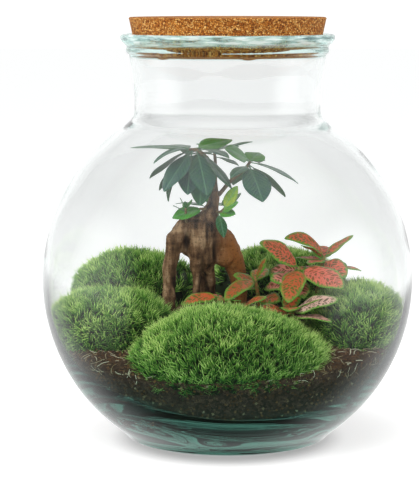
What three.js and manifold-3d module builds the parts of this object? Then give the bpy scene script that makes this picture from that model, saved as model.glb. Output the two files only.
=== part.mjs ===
// Glass plant terrarium: a round bottle garden of recycled glass with a cork lid.
// Inside stand a small ginseng fig and a red-veined nerve plant, among moss cushions
// on dark soil. Lengths are millimetres and angles are degrees. +Z is up, +X is right,
// -Y is the front, and the origin is at the middle of the foot, on the table.
import * as THREE from 'three';
import { mergeVertices } from 'three/addons/utils/BufferGeometryUtils.js';
import Module from 'manifold-3d';

const wasm = await Module();
wasm.setup();

// Vessel
const BALL_RADIUS = 120;
const BALL_HEIGHT = 103;
const WALL = 3;
const BASE_WALL = 6.4;
const FOOT_RADIUS = 64;
const PUNT_RADIUS = 50;
const PUNT_DEPTH = 4.5;
const FLOOR_RADIUS = 69;
const FLOOR_HEIGHT = 17;
const BASE_ANGLE = 35.2;
const SHOULDER_ANGLE = 150;
const NECK_RADIUS = 59.8;
const NECK_HEIGHT = 211;
const RING_RADIUS = 65.2;
const RING_HEIGHT = 251;
const RING_WIDTH = 2.6;
const RIM_RADIUS = 68.8;
const RIM_HEIGHT = 261.8;
const ROUND_SIDES = 36;

// Cork lid
const CORK_TOP_RADIUS = 63.5;
const CORK_FOOT_RADIUS = 58.9;
const CORK_FOOT_HEIGHT = 250.7;
const CORK_THICKNESS = 21.6;
const CORK_CHAMFER = 1.2;

// Planting
const CLEARANCE = 0.3;
const MERGE_DISTANCE = 1e-4;
const SOIL_LEVEL = 69;
const SOIL_RISE_BACK = 0.14;
const SOIL_RISE_RIGHT = 0.045;
const MOUND_HEIGHT = 15;
const MOUND_SPREAD = 55;
const MOUND_CENTRE_Y = 10;
const SOIL_CRUMB = 1.4;
const CAVITY_TOP = 205;
const TUFT_HEIGHT = 3;
const RIM_DIP = 3;
const CUSHION_BOTTOM = 40;
const LEAF_THICKNESS = 0.7;
const STALK_SET = 0.4;
const LAST_NODE = 0.96;
const SMALL_LEAF = 12.5;
const CAP_SHARE = 0.4;

const COLOURS = {
  glass: 0xbfd8d0,
  cork: 0xb07a42,
  soil: 0x2e2926,
  moss: 0x5a7f35,
  bark: 0x6e5640,
  ficusLeaf: 0x3f6b4a,
  fittoniaLeaf: 0xa2543f,
};

const radians = THREE.MathUtils.degToRad;

function point(x, y, z) {
  return new THREE.Vector3(x, y, z);
}

// Solids and meshes

// The solid of a closed geometry, with its vertices merged and empty triangles dropped.
function solidOf(geometry) {
  const bare = geometry.clone();
  bare.deleteAttribute('normal');
  bare.deleteAttribute('uv');
  const merged = mergeVertices(bare, MERGE_DISTANCE);
  const corners = merged.index.array;
  const triangles = [];
  for (let i = 0; i < corners.length; i += 3) {
    const [a, b, c] = [corners[i], corners[i + 1], corners[i + 2]];
    if (a !== b && b !== c && c !== a) {
      triangles.push(a, b, c);
    }
  }
  return new wasm.Manifold(new wasm.Mesh({
    numProp: 3,
    vertProperties: new Float32Array(merged.attributes.position.array),
    triVerts: new Uint32Array(triangles),
  }));
}

function geometryFrom(vertices, triangles) {
  const geometry = new THREE.BufferGeometry();
  geometry.setAttribute('position', new THREE.BufferAttribute(vertices, 3));
  geometry.setIndex(new THREE.BufferAttribute(triangles, 1));
  return geometry;
}

function meshOf(name, solid, material) {
  const body = solid.getMesh();
  const geometry = geometryFrom(body.vertProperties, body.triVerts);
  geometry.computeVertexNormals();
  const mesh = new THREE.Mesh(geometry, material);
  mesh.name = name;
  return mesh;
}

function solidFromPoints(points, triangles) {
  const vertices = new Float32Array(points.flatMap((p) => p.toArray()));
  return solidOf(geometryFrom(vertices, new Uint32Array(triangles)));
}

// A body turned about the Z axis. The profile lists radius and height, from the axis
// round the outside and back to the axis.
function turned(profile) {
  const outline = profile.map(([radius, height]) => new THREE.Vector2(radius, height));
  const geometry = new THREE.LatheGeometry(outline, ROUND_SIDES);
  geometry.rotateX(Math.PI / 2);
  return solidOf(geometry);
}

// A closed body through rings of equal count, with a fan to a point at each end. Seen
// along the way from start to end, each ring runs clockwise.
function loft(start, rings, end) {
  const sides = rings[0].length;
  const points = [start, ...rings.flat(), end];
  const last = points.length - 1;
  const at = (ring, side) => 1 + ring * sides + (side % sides);
  const triangles = [];
  for (let side = 0; side < sides; side++) {
    triangles.push(0, at(0, side + 1), at(0, side));
    triangles.push(last, at(rings.length - 1, side), at(rings.length - 1, side + 1));
    for (let ring = 0; ring + 1 < rings.length; ring++) {
      triangles.push(at(ring, side), at(ring, side + 1), at(ring + 1, side));
      triangles.push(at(ring + 1, side), at(ring, side + 1), at(ring + 1, side + 1));
    }
  }
  return solidFromPoints(points, triangles);
}

function pathOf(knots) {
  return new THREE.CatmullRomCurve3(knots.map(([x, y, z]) => point(x, y, z)));
}

// The middle of a stem at a share of its knots, straight from one knot to the next.
function stemPoint(knots, share) {
  const place = share * (knots.length - 1);
  const knot = Math.min(Math.floor(place), knots.length - 2);
  const [from, to] = [point(...knots[knot]), point(...knots[knot + 1])];
  return from.lerp(to, place - knot);
}

// A tapering stem, twig or root through knots of x, y, z and radius.
function limb(knots, sides, extra = 0) {
  const path = pathOf(knots);
  const rings = [];
  for (let knot = 0; knot < knots.length; knot++) {
    const along = knot / (knots.length - 1);
    const radius = knots[knot][3] + extra;
    const centre = path.getPoint(along);
    const tangent = path.getTangent(along);
    const across = point(0, 1, 0).cross(tangent).normalize();
    const other = tangent.clone().cross(across);
    const ring = [];
    for (let side = 0; side < sides; side++) {
      const angle = (side / sides) * Math.PI * 2;
      ring.push(centre.clone()
        .addScaledVector(across, radius * Math.cos(angle))
        .addScaledVector(other, radius * Math.sin(angle)));
    }
    rings.push(ring);
  }
  const cap = (along, radius) => path.getPoint(along)
    .addScaledVector(path.getTangent(along), (along * 2 - 1) * (radius + extra) * CAP_SHARE);
  return loft(cap(0, knots[0][3]), rings, cap(1, knots[knots.length - 1][3]));
}

function joined(solids) {
  return solids.reduce((whole, next) => whole.add(next));
}

// Glass vessel

function ballPoint(radius, degreesFromBottom) {
  const angle = radians(degreesFromBottom);
  return [radius * Math.sin(angle), BALL_HEIGHT - radius * Math.cos(angle)];
}

// The glass is thin at the shoulder and grows thicker towards the base.
function wallAt(degreesFromBottom) {
  const low = Math.max(0, (90 - degreesFromBottom) / 50);
  return WALL + (BASE_WALL - WALL) * low ** 1.6;
}

function outerBall() {
  const steps = 10;
  const turn = (SHOULDER_ANGLE - BASE_ANGLE) / steps;
  return Array.from({ length: steps + 1 }, (_, step) => (
    ballPoint(BALL_RADIUS, BASE_ANGLE + turn * step)));
}

// The inside of the ball and its floor, from the shoulder down to the axis, drawn in by
// an inset for what lies against it.
function innerBall(inset) {
  const firstAngle = 150.8;
  const lastAngle = 43;
  const steps = 8;
  const side = Array.from({ length: steps + 1 }, (_, step) => {
    const angle = firstAngle + ((lastAngle - firstAngle) * step) / steps;
    return ballPoint(BALL_RADIUS - wallAt(angle) - inset, angle);
  });
  const floor = [
    [FLOOR_RADIUS - inset, FLOOR_HEIGHT + inset],
    [0, FLOOR_HEIGHT + inset],
  ];
  return [...side, ...floor];
}

function vesselSolid() {
  const foot = [
    [0, PUNT_DEPTH],
    [PUNT_RADIUS - 14, PUNT_DEPTH - 0.6],
    [PUNT_RADIUS, 0],
    [FOOT_RADIUS, 0],
    [FOOT_RADIUS + 2.8, 2.6],
  ];
  const neck = [
    [NECK_RADIUS, NECK_HEIGHT],
    [NECK_RADIUS + 0.2, NECK_HEIGHT + 15],
    [RING_RADIUS - 1.8, RING_HEIGHT - 2.6],
  ];
  const ring = [
    [RING_RADIUS, RING_HEIGHT - RING_WIDTH / 2],
    [RING_RADIUS, RING_HEIGHT + RING_WIDTH / 2],
    [RING_RADIUS - 0.6, RING_HEIGHT + 2.4],
  ];
  const lip = [
    [RIM_RADIUS - 2, RIM_HEIGHT - 5.8],
    [RIM_RADIUS, RIM_HEIGHT - 3.4],
    [RIM_RADIUS - 0.3, RIM_HEIGHT - 1.2],
    [RIM_RADIUS - 1.8, RIM_HEIGHT],
    [RIM_RADIUS - 4.6, RIM_HEIGHT],
    [RIM_RADIUS - 7.8, RIM_HEIGHT - 3.2],
  ];
  const throat = [
    [NECK_RADIUS - 0.3, RIM_HEIGHT - 13.8],
    [NECK_RADIUS - WALL, NECK_HEIGHT + 17],
    [NECK_RADIUS - WALL, NECK_HEIGHT - 2],
  ];
  const profile = [...foot, ...outerBall(), ...neck, ...ring, ...lip, ...throat, ...innerBall(0)];
  return turned(profile);
}

// Cork lid, drawn from its own underside

function corkSolid() {
  const profile = [
    [0, 0],
    [CORK_FOOT_RADIUS - CORK_CHAMFER, 0],
    [CORK_FOOT_RADIUS, CORK_CHAMFER],
    [CORK_TOP_RADIUS, CORK_THICKNESS - CORK_CHAMFER],
    [CORK_TOP_RADIUS - CORK_CHAMFER, CORK_THICKNESS],
    [0, CORK_THICKNESS],
  ];
  return turned(profile);
}

// Soil and moss

function soilHeight(x, y) {
  const fromMound = x * x + (y - MOUND_CENTRE_Y) ** 2;
  const mound = MOUND_HEIGHT * Math.exp(-fromMound / MOUND_SPREAD ** 2);
  return SOIL_LEVEL + SOIL_RISE_BACK * y + SOIL_RISE_RIGHT * x + mound;
}

// A body with a domed or rolling top and a flat underside. surface gives the height of
// the top from a share of the reach and a direction.
function mound(centre, reach, rings, sides, bottom, surface) {
  const [cx, cy] = centre;
  const pointAt = (share, side, height) => {
    const angle = -(side / sides) * Math.PI * 2;
    const x = cx + reach[0] * share * Math.cos(angle);
    const y = cy + reach[1] * share * Math.sin(angle);
    return point(x, y, height ?? surface(x, y, share, side));
  };
  const layers = [];
  for (let ring = 1; ring <= rings; ring++) {
    const share = Math.sin((ring / rings) * (Math.PI / 2));
    layers.push(Array.from({ length: sides }, (_, side) => pointAt(share, side)));
  }
  layers.push(Array.from({ length: sides }, (_, side) => pointAt(1, side, bottom)));
  return loft(pointAt(0, 0), layers, point(cx, cy, bottom));
}

// A value from 0 to 1 that looks random but is the same on every run.
function scatter(ring, side) {
  const wave = Math.sin(ring * 127.1 + side * 311.7) * 43758.5453;
  return wave - Math.floor(wave);
}

function terrainSolid() {
  const outside = BALL_RADIUS + 4;
  const rings = 8;
  const surface = (x, y, share, side) => (
    soilHeight(x, y) + SOIL_CRUMB * scatter(share * rings, side));
  return mound([0, 0], [outside, outside], rings, 30, 0, surface);
}

// Each cushion is an oval dome with raised tufts, flat on top where its dome power is
// low. Its rim dips below the soil, whose surface then cuts its underside.
const CUSHIONS = [
  { name: 'moss_front', centre: [1.5, -58], reach: [60, 48], top: 94, dome: 0.75, lean: -0.05 },
  { name: 'moss_left', centre: [-77, -16], reach: [40, 31], top: 99, dome: 0.32, lean: 0 },
  { name: 'moss_right', centre: [84, -5], reach: [31, 46], top: 102, dome: 0.4, lean: 0 },
  { name: 'moss_back_left', centre: [-64, 54], reach: [44, 40], top: 116, dome: 0.36, lean: 0 },
  { name: 'moss_back_right', centre: [32, 62], reach: [47, 42], top: 115, dome: 0.36, lean: 0 },
];

function cushionSolid(cushion, extra = 0) {
  const rings = 6;
  const reach = cushion.reach.map((length) => length + extra);
  const surface = (x, y, share, side) => {
    const rim = soilHeight(x, y) - RIM_DIP;
    const rise = cushion.top - TUFT_HEIGHT + extra - rim;
    const dome = Math.max(0, 1 - share ** 2) ** cushion.dome;
    const tuft = share < 1 ? scatter(share * rings, side) * TUFT_HEIGHT : 0;
    return rim + (rise + cushion.lean * (x - cushion.centre[0])) * dome + tuft;
  };
  return mound(cushion.centre, reach, rings, 24, CUSHION_BOTTOM, surface);
}

// Blades

// Stations along a leaf: share of its length, and half width as a share of its width.
// The first two are the stalk.
const FICUS_OUTLINE = [[0, 0.05], [0.13, 0.05], [0.32, 0.4], [0.56, 0.5], [0.82, 0.33], [1, 0.03]];
const FITTONIA_OUTLINE = [[0, 0.05], [0.1, 0.06], [0.3, 0.42], [0.52, 0.5], [0.8, 0.34], [1, 0.04]];
const BUD_OUTLINE = [[0, 0.1], [0.35, 0.48], [0.72, 0.36], [1, 0.06]];

// A leaf that starts at root. heading turns it about Z from +X, rise lifts its chord,
// droop bends it down from base to tip, and roll lifts its left side.
function bladeSolid(root, leaf, outline, fold, wave) {
  const heading = radians(leaf.heading);
  const level = point(-Math.sin(heading), Math.cos(heading), 0);
  const directionAt = (share) => {
    const slope = radians(leaf.rise + (leaf.droop ?? 0) * (0.5 - share));
    return point(
      Math.cos(slope) * Math.cos(heading),
      Math.cos(slope) * Math.sin(heading),
      Math.sin(slope),
    );
  };
  const upper = [];
  const lower = [];
  const middle = root.clone().addScaledVector(directionAt(0), STALK_SET);
  outline.forEach(([share, half], station) => {
    if (station > 0) {
      const before = outline[station - 1][0];
      middle.addScaledVector(directionAt((share + before) / 2), (share - before) * leaf.long);
    }
    const direction = directionAt(share);
    const roll = radians(leaf.roll ?? 0);
    const side = level.clone().applyAxisAngle(direction, roll);
    const up = direction.clone().cross(side);
    const reach = half * leaf.wide;
    [1, 0, -1].forEach((column) => {
      const lift = Math.abs(column) * (reach * fold + wave * (station % 2 ? 1 : -1) * half);
      const place = middle.clone().addScaledVector(side, column * reach).addScaledVector(up, lift);
      upper.push(place.clone().addScaledVector(up, LEAF_THICKNESS / 2));
      lower.push(place.clone().addScaledVector(up, -LEAF_THICKNESS / 2));
    });
  });
  return slab(upper, lower, outline.length, 3);
}

// A closed sheet between two like grids of points, split into triangles alike on both
// faces.
function slab(upper, lower, rows, columns) {
  const triangles = [];
  const offset = upper.length;
  const quad = (a, b, c, d) => triangles.push(a, b, c, a, c, d);
  for (let row = 0; row + 1 < rows; row++) {
    for (let column = 0; column + 1 < columns; column++) {
      const a = row * columns + column;
      const [b, c, d] = [a + 1, a + columns + 1, a + columns];
      quad(a, b, c, d);
      triangles.push(offset + a, offset + c, offset + b, offset + a, offset + d, offset + c);
    }
  }
  const edge = [];
  for (let column = 0; column + 1 < columns; column++) edge.push(column);
  for (let row = 0; row + 1 < rows; row++) edge.push(row * columns + columns - 1);
  for (let column = columns - 1; column > 0; column--) edge.push((rows - 1) * columns + column);
  for (let row = rows - 1; row > 0; row--) edge.push(row * columns);
  edge.forEach((from, place) => {
    const to = edge[(place + 1) % edge.length];
    quad(to, from, offset + from, offset + to);
  });
  return solidFromPoints([...upper, ...lower], triangles);
}

// A twig or stem with its leaves, grown together. Each leaf starts on the stem, at a
// share of its length.
function spraySolid(spray, form) {
  const stems = spray.stems.map((knots) => limb(knots, form.stemSides));
  const leaves = spray.leaves.map((leaf) => {
    const root = stemPoint(spray.stems[leaf.stem ?? 0], leaf.at * LAST_NODE);
    const outline = leaf.long < SMALL_LEAF ? BUD_OUTLINE : form.outline;
    return bladeSolid(root, leaf, outline, form.fold, form.wave);
  });
  return joined([...stems, ...leaves]);
}

// Ginseng fig

// Knots of x, y, z and radius. All are grown together in one trunk.
const FICUS_LIMBS = {
  trunk: [
    [-16, 1, 120, 7.5], [-15.5, 1, 129, 10.5], [-14, 0, 138, 9.5], [-11.5, 0, 145, 6],
    [-9.5, 0, 151, 4.2], [-8, 0, 157, 3.5], [-7, 0, 161.5, 3.3],
  ],
  leftLeg: [
    [-18, 0, 138, 7.5], [-27.5, -1, 135.5, 7], [-34, -2, 128.5, 6.2], [-36.8, -3, 115, 4.9],
    [-38.4, -4, 99, 4.4], [-38, -7, 88, 4.6], [-36, -9, 77, 3.6],
  ],
  middleLeg: [
    [-20, -1, 128, 6.5], [-20.3, -2, 117, 5], [-19.2, -3, 105, 3.7], [-19.4, -5, 92, 3.3],
    [-19, -7, 78, 2.8],
  ],
  innerLeg: [
    [-11.5, 1, 128, 6.5], [-11.8, 1, 115, 4.2], [-10.8, 3, 100, 3.4], [-9.6, 5, 88, 3.2],
    [-8.5, 6, 78, 2.8],
  ],
  rightLeg: [
    [-9, 2, 134, 7.5], [-1.5, 4, 126.5, 7], [3.6, 7, 115.5, 6.8], [6.6, 11, 103, 6],
    [8.8, 14, 92, 4.6], [9.4, 16, 79, 3.4],
  ],
  backLeg: [
    [-15, 4, 130, 7], [-15.5, 11, 117, 5.4], [-15, 17, 103, 4.4], [-15, 21, 91, 4.2],
    [-14.5, 23, 79, 3.2],
  ],
};

const FICUS_FORM = { outline: FICUS_OUTLINE, fold: 0.16, wave: 0.3, stemSides: 5 };

const FICUS_SPRAYS = [
  {
    name: 'ficus_spray_left',
    stems: [[
      [-8, -0.5, 157, 1.5], [-10, 1, 169, 1.3], [-13.5, 0, 180, 1.3], [-19, -2, 185.5, 1.2],
      [-25, -2, 186.5, 0.9],
    ]],
    leaves: [
      { at: 1, heading: 174, rise: 3, long: 38, wide: 12, droop: 12, roll: -8 },
      { at: 1, heading: -154, rise: -16, long: 27, wide: 11, droop: 55 },
      { at: 0.97, heading: 155, rise: -31, long: 35, wide: 15, droop: 20 },
      { at: 0.93, heading: -139, rise: -46, long: 34, wide: 20, droop: 15 },
      { at: 0.9, heading: 155, rise: -46, long: 36, wide: 16, droop: 20 },
      { at: 0.95, heading: -100, rise: -62, long: 30, wide: 16, droop: 12 },
      { at: 0.84, heading: -69, rise: -52, long: 33, wide: 18, droop: 20 },
      { at: 0.55, heading: -112, rise: -72, long: 31, wide: 17, droop: 12 },
      { at: 0.97, heading: 150, rise: -63, long: 40, wide: 8, droop: 60 },
      { at: 0.8, heading: -40, rise: -8, long: 27, wide: 12, droop: 40 },
      { at: 0.7, heading: -22, rise: -44, long: 30, wide: 14, droop: 10 },
      { at: 0.92, heading: 24, rise: 13, long: 28, wide: 16, droop: 12, roll: 22 },
      { at: 0.9, heading: 100, rise: -10, long: 30, wide: 15, droop: 30 },
      { at: 0.75, heading: 90, rise: -36, long: 30, wide: 14, droop: 25 },
      { at: 0.55, heading: 108, rise: -50, long: 29, wide: 14, droop: 15 },
      { at: 1, heading: 122, rise: 4, long: 24, wide: 12, droop: 15 },
    ],
  },
  {
    name: 'ficus_spray_top',
    stems: [[
      [-6.4, 1.6, 157.5, 1.3], [-7.5, 4, 168, 1.2], [-8, 8, 178, 1.1], [-9, 11, 186, 0.9],
    ]],
    leaves: [
      { at: 1, heading: -20, rise: 14, long: 27, wide: 9, droop: 8, roll: 10 },
      { at: 1, heading: 120, rise: 8, long: 22, wide: 12, droop: 20 },
      { at: 1, heading: 92, rise: 8, long: 29, wide: 14, droop: 30 },
      { at: 0.95, heading: 54, rise: 4, long: 27, wide: 13, droop: 30 },
      { at: 0.8, heading: -22, rise: -16, long: 17, wide: 9, droop: 20 },
      { at: 0.85, heading: 140, rise: -4, long: 25, wide: 13, droop: 30 },
    ],
  },
  {
    name: 'ficus_spray_right',
    stems: [[
      [-5.4, -1.6, 158.4, 1.4], [1, -2.5, 166.5, 1.3], [7, -3.5, 171.5, 1.2], [12, -4, 175.5, 1.1],
      [14.5, -4, 179, 0.9],
    ]],
    leaves: [
      { at: 1, heading: -150, rise: 26, long: 20, wide: 16, droop: 30, roll: -40 },
      { at: 1, heading: 10, rise: -24, long: 35, wide: 11, droop: 32, roll: 12 },
      { at: 0.9, heading: -62, rise: -47, long: 29, wide: 20, droop: 15 },
      { at: 0.85, heading: -126, rise: -18, long: 18, wide: 11, droop: 20 },
      { at: 0.9, heading: 32, rise: -37, long: 36, wide: 14, droop: 15 },
      { at: 0.97, heading: 76, rise: -4, long: 28, wide: 14, droop: 30 },
      { at: 0.85, heading: 118, rise: -34, long: 22, wide: 12, droop: 20 },
      { at: 0.8, heading: 52, rise: -42, long: 27, wide: 13, droop: 15 },
      { at: 1, heading: 62, rise: 20, long: 15, wide: 14, droop: 15, roll: 15 },
    ],
  },
  {
    name: 'ficus_sprig_low_right',
    stems: [[[-9, -1.5, 147.5, 1.1], [-5, -5.5, 146.5, 1.1], [-2, -6.5, 149, 0.9]]],
    leaves: [
      { at: 0.9, heading: -12, rise: 60, long: 19, wide: 10, roll: 60 },
      { at: 0.9, heading: 35, rise: 38, long: 18, wide: 9, droop: 10 },
      { at: 0.5, heading: -30, rise: 30, long: 16, wide: 9, roll: 45 },
      { at: 0.3, heading: -35, rise: -2, long: 14, wide: 9, roll: 40 },
      { at: 0.35, heading: -57, rise: -68, long: 17, wide: 8, droop: 10 },
      { at: 1, heading: 62, rise: 30, long: 17, wide: 9, droop: 20 },
    ],
  },
  {
    name: 'ficus_sprig_low_left',
    stems: [
      [[-11, -1, 148, 1.1], [-14.5, -4, 148.4, 1], [-18, -5.5, 148.4, 0.9]],
      [[-26.5, -5, 139, 1], [-27, -7, 144, 0.9], [-27, -7.5, 149, 0.8]],
    ],
    leaves: [
      { at: 0.5, heading: -170, rise: -16, long: 22, wide: 15, droop: 16, roll: -24 },
      { stem: 1, at: 0.9, heading: 180, rise: 68, long: 9, wide: 4 },
      { stem: 1, at: 0.9, heading: -30, rise: 58, long: 9, wide: 4 },
      { stem: 1, at: 0.8, heading: 165, rise: 24, long: 9, wide: 2.4 },
      { stem: 1, at: 0.9, heading: 95, rise: 40, long: 8, wide: 4 },
    ],
  },
  {
    name: 'ficus_sprig_back',
    stems: [[[-14.5, 6.5, 140, 1.2], [-14, 12, 145, 1.1], [-13, 15, 150, 0.9]]],
    leaves: [
      { at: 1, heading: 95, rise: 18, long: 24, wide: 13, droop: 30 },
      { at: 0.8, heading: 155, rise: 2, long: 23, wide: 12, droop: 30 },
      { at: 0.8, heading: 28, rise: 2, long: 22, wide: 12, droop: 30 },
      { at: 1, heading: 60, rise: 58, long: 16, wide: 9 },
    ],
  },
];

// Nerve plant

const FITTONIA_FORM = { outline: FITTONIA_OUTLINE, fold: 0.12, wave: 0.9, stemSides: 5 };

const FITTONIA_STEMS = [
  {
    name: 'fittonia_stem_right',
    stems: [[[55, 6, 68, 1.5], [57.5, 5, 86, 1.4], [60, 3, 102, 1.3], [63, 2, 117, 1.2]]],
    leaves: [
      { at: 1, heading: 12, rise: 38, long: 25, wide: 10, droop: 18, roll: 15 },
      { at: 1, heading: -166, rise: 28, long: 33, wide: 15, droop: 90, roll: -30 },
      { at: 1, heading: -150, rise: 30, long: 20, wide: 11, droop: 30 },
      { at: 0.97, heading: 160, rise: 2, long: 19, wide: 13, droop: 20 },
      { at: 0.96, heading: -120, rise: 1, long: 20, wide: 11, droop: 20 },
      { at: 0.95, heading: -44, rise: -24, long: 21, wide: 16, droop: 40, roll: 25 },
      { at: 0.8, heading: -6, rise: 2, long: 27, wide: 12, droop: 45 },
      { at: 0.97, heading: 88, rise: 16, long: 25, wide: 14, droop: 35 },
      { at: 0.9, heading: 45, rise: -8, long: 24, wide: 14, droop: 40 },
      { at: 0.8, heading: 128, rise: -4, long: 25, wide: 14, droop: 40 },
    ],
  },
  {
    name: 'fittonia_stem_centre',
    stems: [[[41, -7, 70, 1.5], [43, -10, 88, 1.4], [45, -13, 102, 1.3], [46.5, -14, 112, 1.2]]],
    leaves: [
      { at: 1, heading: -160, rise: 33, long: 33, wide: 19, droop: 30, roll: -42 },
      { at: 0.97, heading: -37, rise: -14, long: 35, wide: 20, droop: 30, roll: 24 },
      { at: 0.98, heading: -108, rise: -34, long: 31, wide: 17, droop: 46 },
      { at: 0.75, heading: -143, rise: 4, long: 22, wide: 13, droop: 20, roll: -35 },
      { at: 0.6, heading: -112, rise: -38, long: 20, wide: 13, droop: 20 },
      { at: 0.8, heading: -80, rise: -34, long: 19, wide: 12, droop: 20 },
      { at: 0.97, heading: 168, rise: -8, long: 20, wide: 14, droop: 30, roll: -35 },
      { at: 0.7, heading: 160, rise: -14, long: 23, wide: 13, droop: 35, roll: -35 },
      { at: 0.9, heading: 97, rise: 0, long: 22, wide: 13, droop: 35 },
    ],
  },
  {
    name: 'fittonia_stem_front',
    stems: [[[43, -21, 64, 1.4], [41, -27, 77, 1.3], [40, -31, 86, 1.1]]],
    leaves: [
      { at: 1, heading: -32, rise: 17, long: 36, wide: 18, droop: 30, roll: 28 },
      { at: 0.95, heading: -16, rise: 20, long: 36, wide: 10, droop: 45 },
      { at: 0.85, heading: -46, rise: 0, long: 35, wide: 15, droop: 20 },
      { at: 0.9, heading: -111, rise: 6, long: 17, wide: 9, droop: 30 },
      { at: 0.95, heading: -95, rise: 14, long: 18, wide: 14, droop: 80 },
      { at: 0.9, heading: -165, rise: 16, long: 22, wide: 13, droop: 30, roll: -20 },
    ],
  },
  {
    name: 'fittonia_stem_left',
    stems: [[[24, -1, 72, 1.4], [21, -4, 88, 1.3], [18, -8, 104, 1.1]]],
    leaves: [
      { at: 1, heading: -126, rise: -15, long: 34, wide: 13, droop: 36, roll: -15 },
      { at: 0.9, heading: -160, rise: 24, long: 17, wide: 10, droop: 30, roll: -35 },
      { at: 0.6, heading: -50, rise: 2, long: 20, wide: 12, droop: 30, roll: 30 },
      { at: 1, heading: -35, rise: 60, long: 18, wide: 9, droop: 10, roll: 50 },
      { at: 0.95, heading: 75, rise: 16, long: 22, wide: 12, droop: 35 },
      { at: 0.8, heading: 150, rise: -6, long: 19, wide: 11, droop: 30 },
    ],
  },
  {
    name: 'fittonia_creeper',
    stems: [[
      [14, -22, 70, 1.3], [11, -24, 82, 1.3], [3, -26, 92, 1.2], [-6, -27, 94, 1],
    ]],
    leaves: [
      { at: 1, heading: 178, rise: -10, long: 25, wide: 13, droop: 50, roll: -25 },
      { at: 0.8, heading: 148, rise: 4, long: 19, wide: 8, droop: 30 },
      { at: 0.5, heading: -38, rise: 24, long: 23, wide: 13, droop: 26, roll: 22 },
      { at: 0.6, heading: -88, rise: 22, long: 12, wide: 7, droop: 40 },
    ],
  },
];

// Everything grown, then set in the soil and trimmed to the glass

function finish(colour, roughness, options = {}) {
  return new THREE.MeshStandardMaterial({ color: colour, roughness, metalness: 0, ...options });
}

const glassFinish = finish(COLOURS.glass, 0.05, { transparent: true, opacity: 0.35 });
const corkFinish = finish(COLOURS.cork, 0.9);
const soilFinish = finish(COLOURS.soil, 1);
const mossFinish = finish(COLOURS.moss, 1);
const barkFinish = finish(COLOURS.bark, 0.85);
const ficusFinish = finish(COLOURS.ficusLeaf, 0.45);
const fittoniaFinish = finish(COLOURS.fittoniaLeaf, 0.5);

const cavity = turned([...innerBall(CLEARANCE).reverse(), [0, CAVITY_TOP]]);
const terrain = terrainSolid();

const limbSides = (name) => (name === 'trunk' ? 12 : 8);
const trunkAt = (extra) => joined(Object.entries(FICUS_LIMBS)
  .map(([name, knots]) => limb(knots, limbSides(name), extra)));
const twigSockets = joined(FICUS_SPRAYS.flatMap((spray) => spray.stems
  .map((knots) => limb(knots, FICUS_FORM.stemSides, CLEARANCE))));
const stemHoles = joined(FITTONIA_STEMS.flatMap((spray) => spray.stems
  .map((knots) => limb(knots, FITTONIA_FORM.stemSides, CLEARANCE))));
const trunkHoles = trunkAt(CLEARANCE);

const planting = new THREE.Group();
const soil = terrain.intersect(cavity).subtract(trunkHoles).subtract(stemHoles);
planting.add(meshOf('soil', soil, soilFinish));

const soilCover = terrain.translate([0, 0, CLEARANCE]);
let placedMoss = null;
for (const cushion of CUSHIONS) {
  let solid = cushionSolid(cushion).subtract(soilCover).intersect(cavity);
  solid = solid.subtract(trunkHoles).subtract(stemHoles);
  if (placedMoss) {
    solid = solid.subtract(placedMoss);
  }
  const grown = cushionSolid(cushion, CLEARANCE);
  placedMoss = placedMoss ? placedMoss.add(grown) : grown;
  planting.add(meshOf(cushion.name, solid, mossFinish));
}

const ficus = new THREE.Group();
ficus.add(meshOf('ficus_trunk', trunkAt(0).subtract(twigSockets), barkFinish));
for (const spray of FICUS_SPRAYS) {
  ficus.add(meshOf(spray.name, spraySolid(spray, FICUS_FORM), ficusFinish));
}

const fittonia = new THREE.Group();
for (const spray of FITTONIA_STEMS) {
  fittonia.add(meshOf(spray.name, spraySolid(spray, FITTONIA_FORM), fittoniaFinish));
}

const lid = meshOf('cork_lid', corkSolid(), corkFinish);
lid.position.z = CORK_FOOT_HEIGHT;

const terrarium = new THREE.Group();
terrarium.add(meshOf('glass_vessel', vesselSolid(), glassFinish), lid, planting, ficus, fittonia);

export default terrarium;
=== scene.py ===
"""Looks of a glass plant terrarium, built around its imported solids.

A round vessel of recycled glass with a cork lid holds a ginseng fig, a red-veined nerve
plant and cushions of moss on potting soil. Sizes in this file are millimetres unless a
name says otherwise, and meshes are written in metres. +Z is up and -Y is the front.
"""

import logging
import math
import random
from dataclasses import dataclass, field
from enum import Enum
from functools import partial
from typing import Callable, Mapping, Sequence

import bmesh
import bpy
import numpy as np
from bpy.types import Material, Node, NodeSocket, NodeTree, Object
from mathutils import Matrix, Vector, noise


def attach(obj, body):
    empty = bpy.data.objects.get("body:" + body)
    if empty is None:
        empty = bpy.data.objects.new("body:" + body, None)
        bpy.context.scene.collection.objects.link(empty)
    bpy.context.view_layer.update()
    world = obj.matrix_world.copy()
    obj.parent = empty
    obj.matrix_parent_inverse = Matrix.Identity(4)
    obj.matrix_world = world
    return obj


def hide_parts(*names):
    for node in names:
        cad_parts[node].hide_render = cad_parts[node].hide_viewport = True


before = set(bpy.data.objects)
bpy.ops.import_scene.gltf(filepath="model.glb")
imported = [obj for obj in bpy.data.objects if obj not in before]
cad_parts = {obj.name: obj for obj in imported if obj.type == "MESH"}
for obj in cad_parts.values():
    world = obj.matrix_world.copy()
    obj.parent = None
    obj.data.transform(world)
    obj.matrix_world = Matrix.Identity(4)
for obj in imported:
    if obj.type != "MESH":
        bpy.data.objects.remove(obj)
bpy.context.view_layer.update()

LOG = logging.getLogger("terrarium")
MM = 0.001
BODY = "root"

# Vessel sizes, as in the part's source
BALL_RADIUS = 120.0
BALL_HEIGHT = 103.0
WALL = 3.0
BASE_WALL = 6.4
FOOT_RADIUS = 64.0
PUNT_RADIUS = 50.0
PUNT_DEPTH = 4.5
FLOOR_HEIGHT = 17.0
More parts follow.
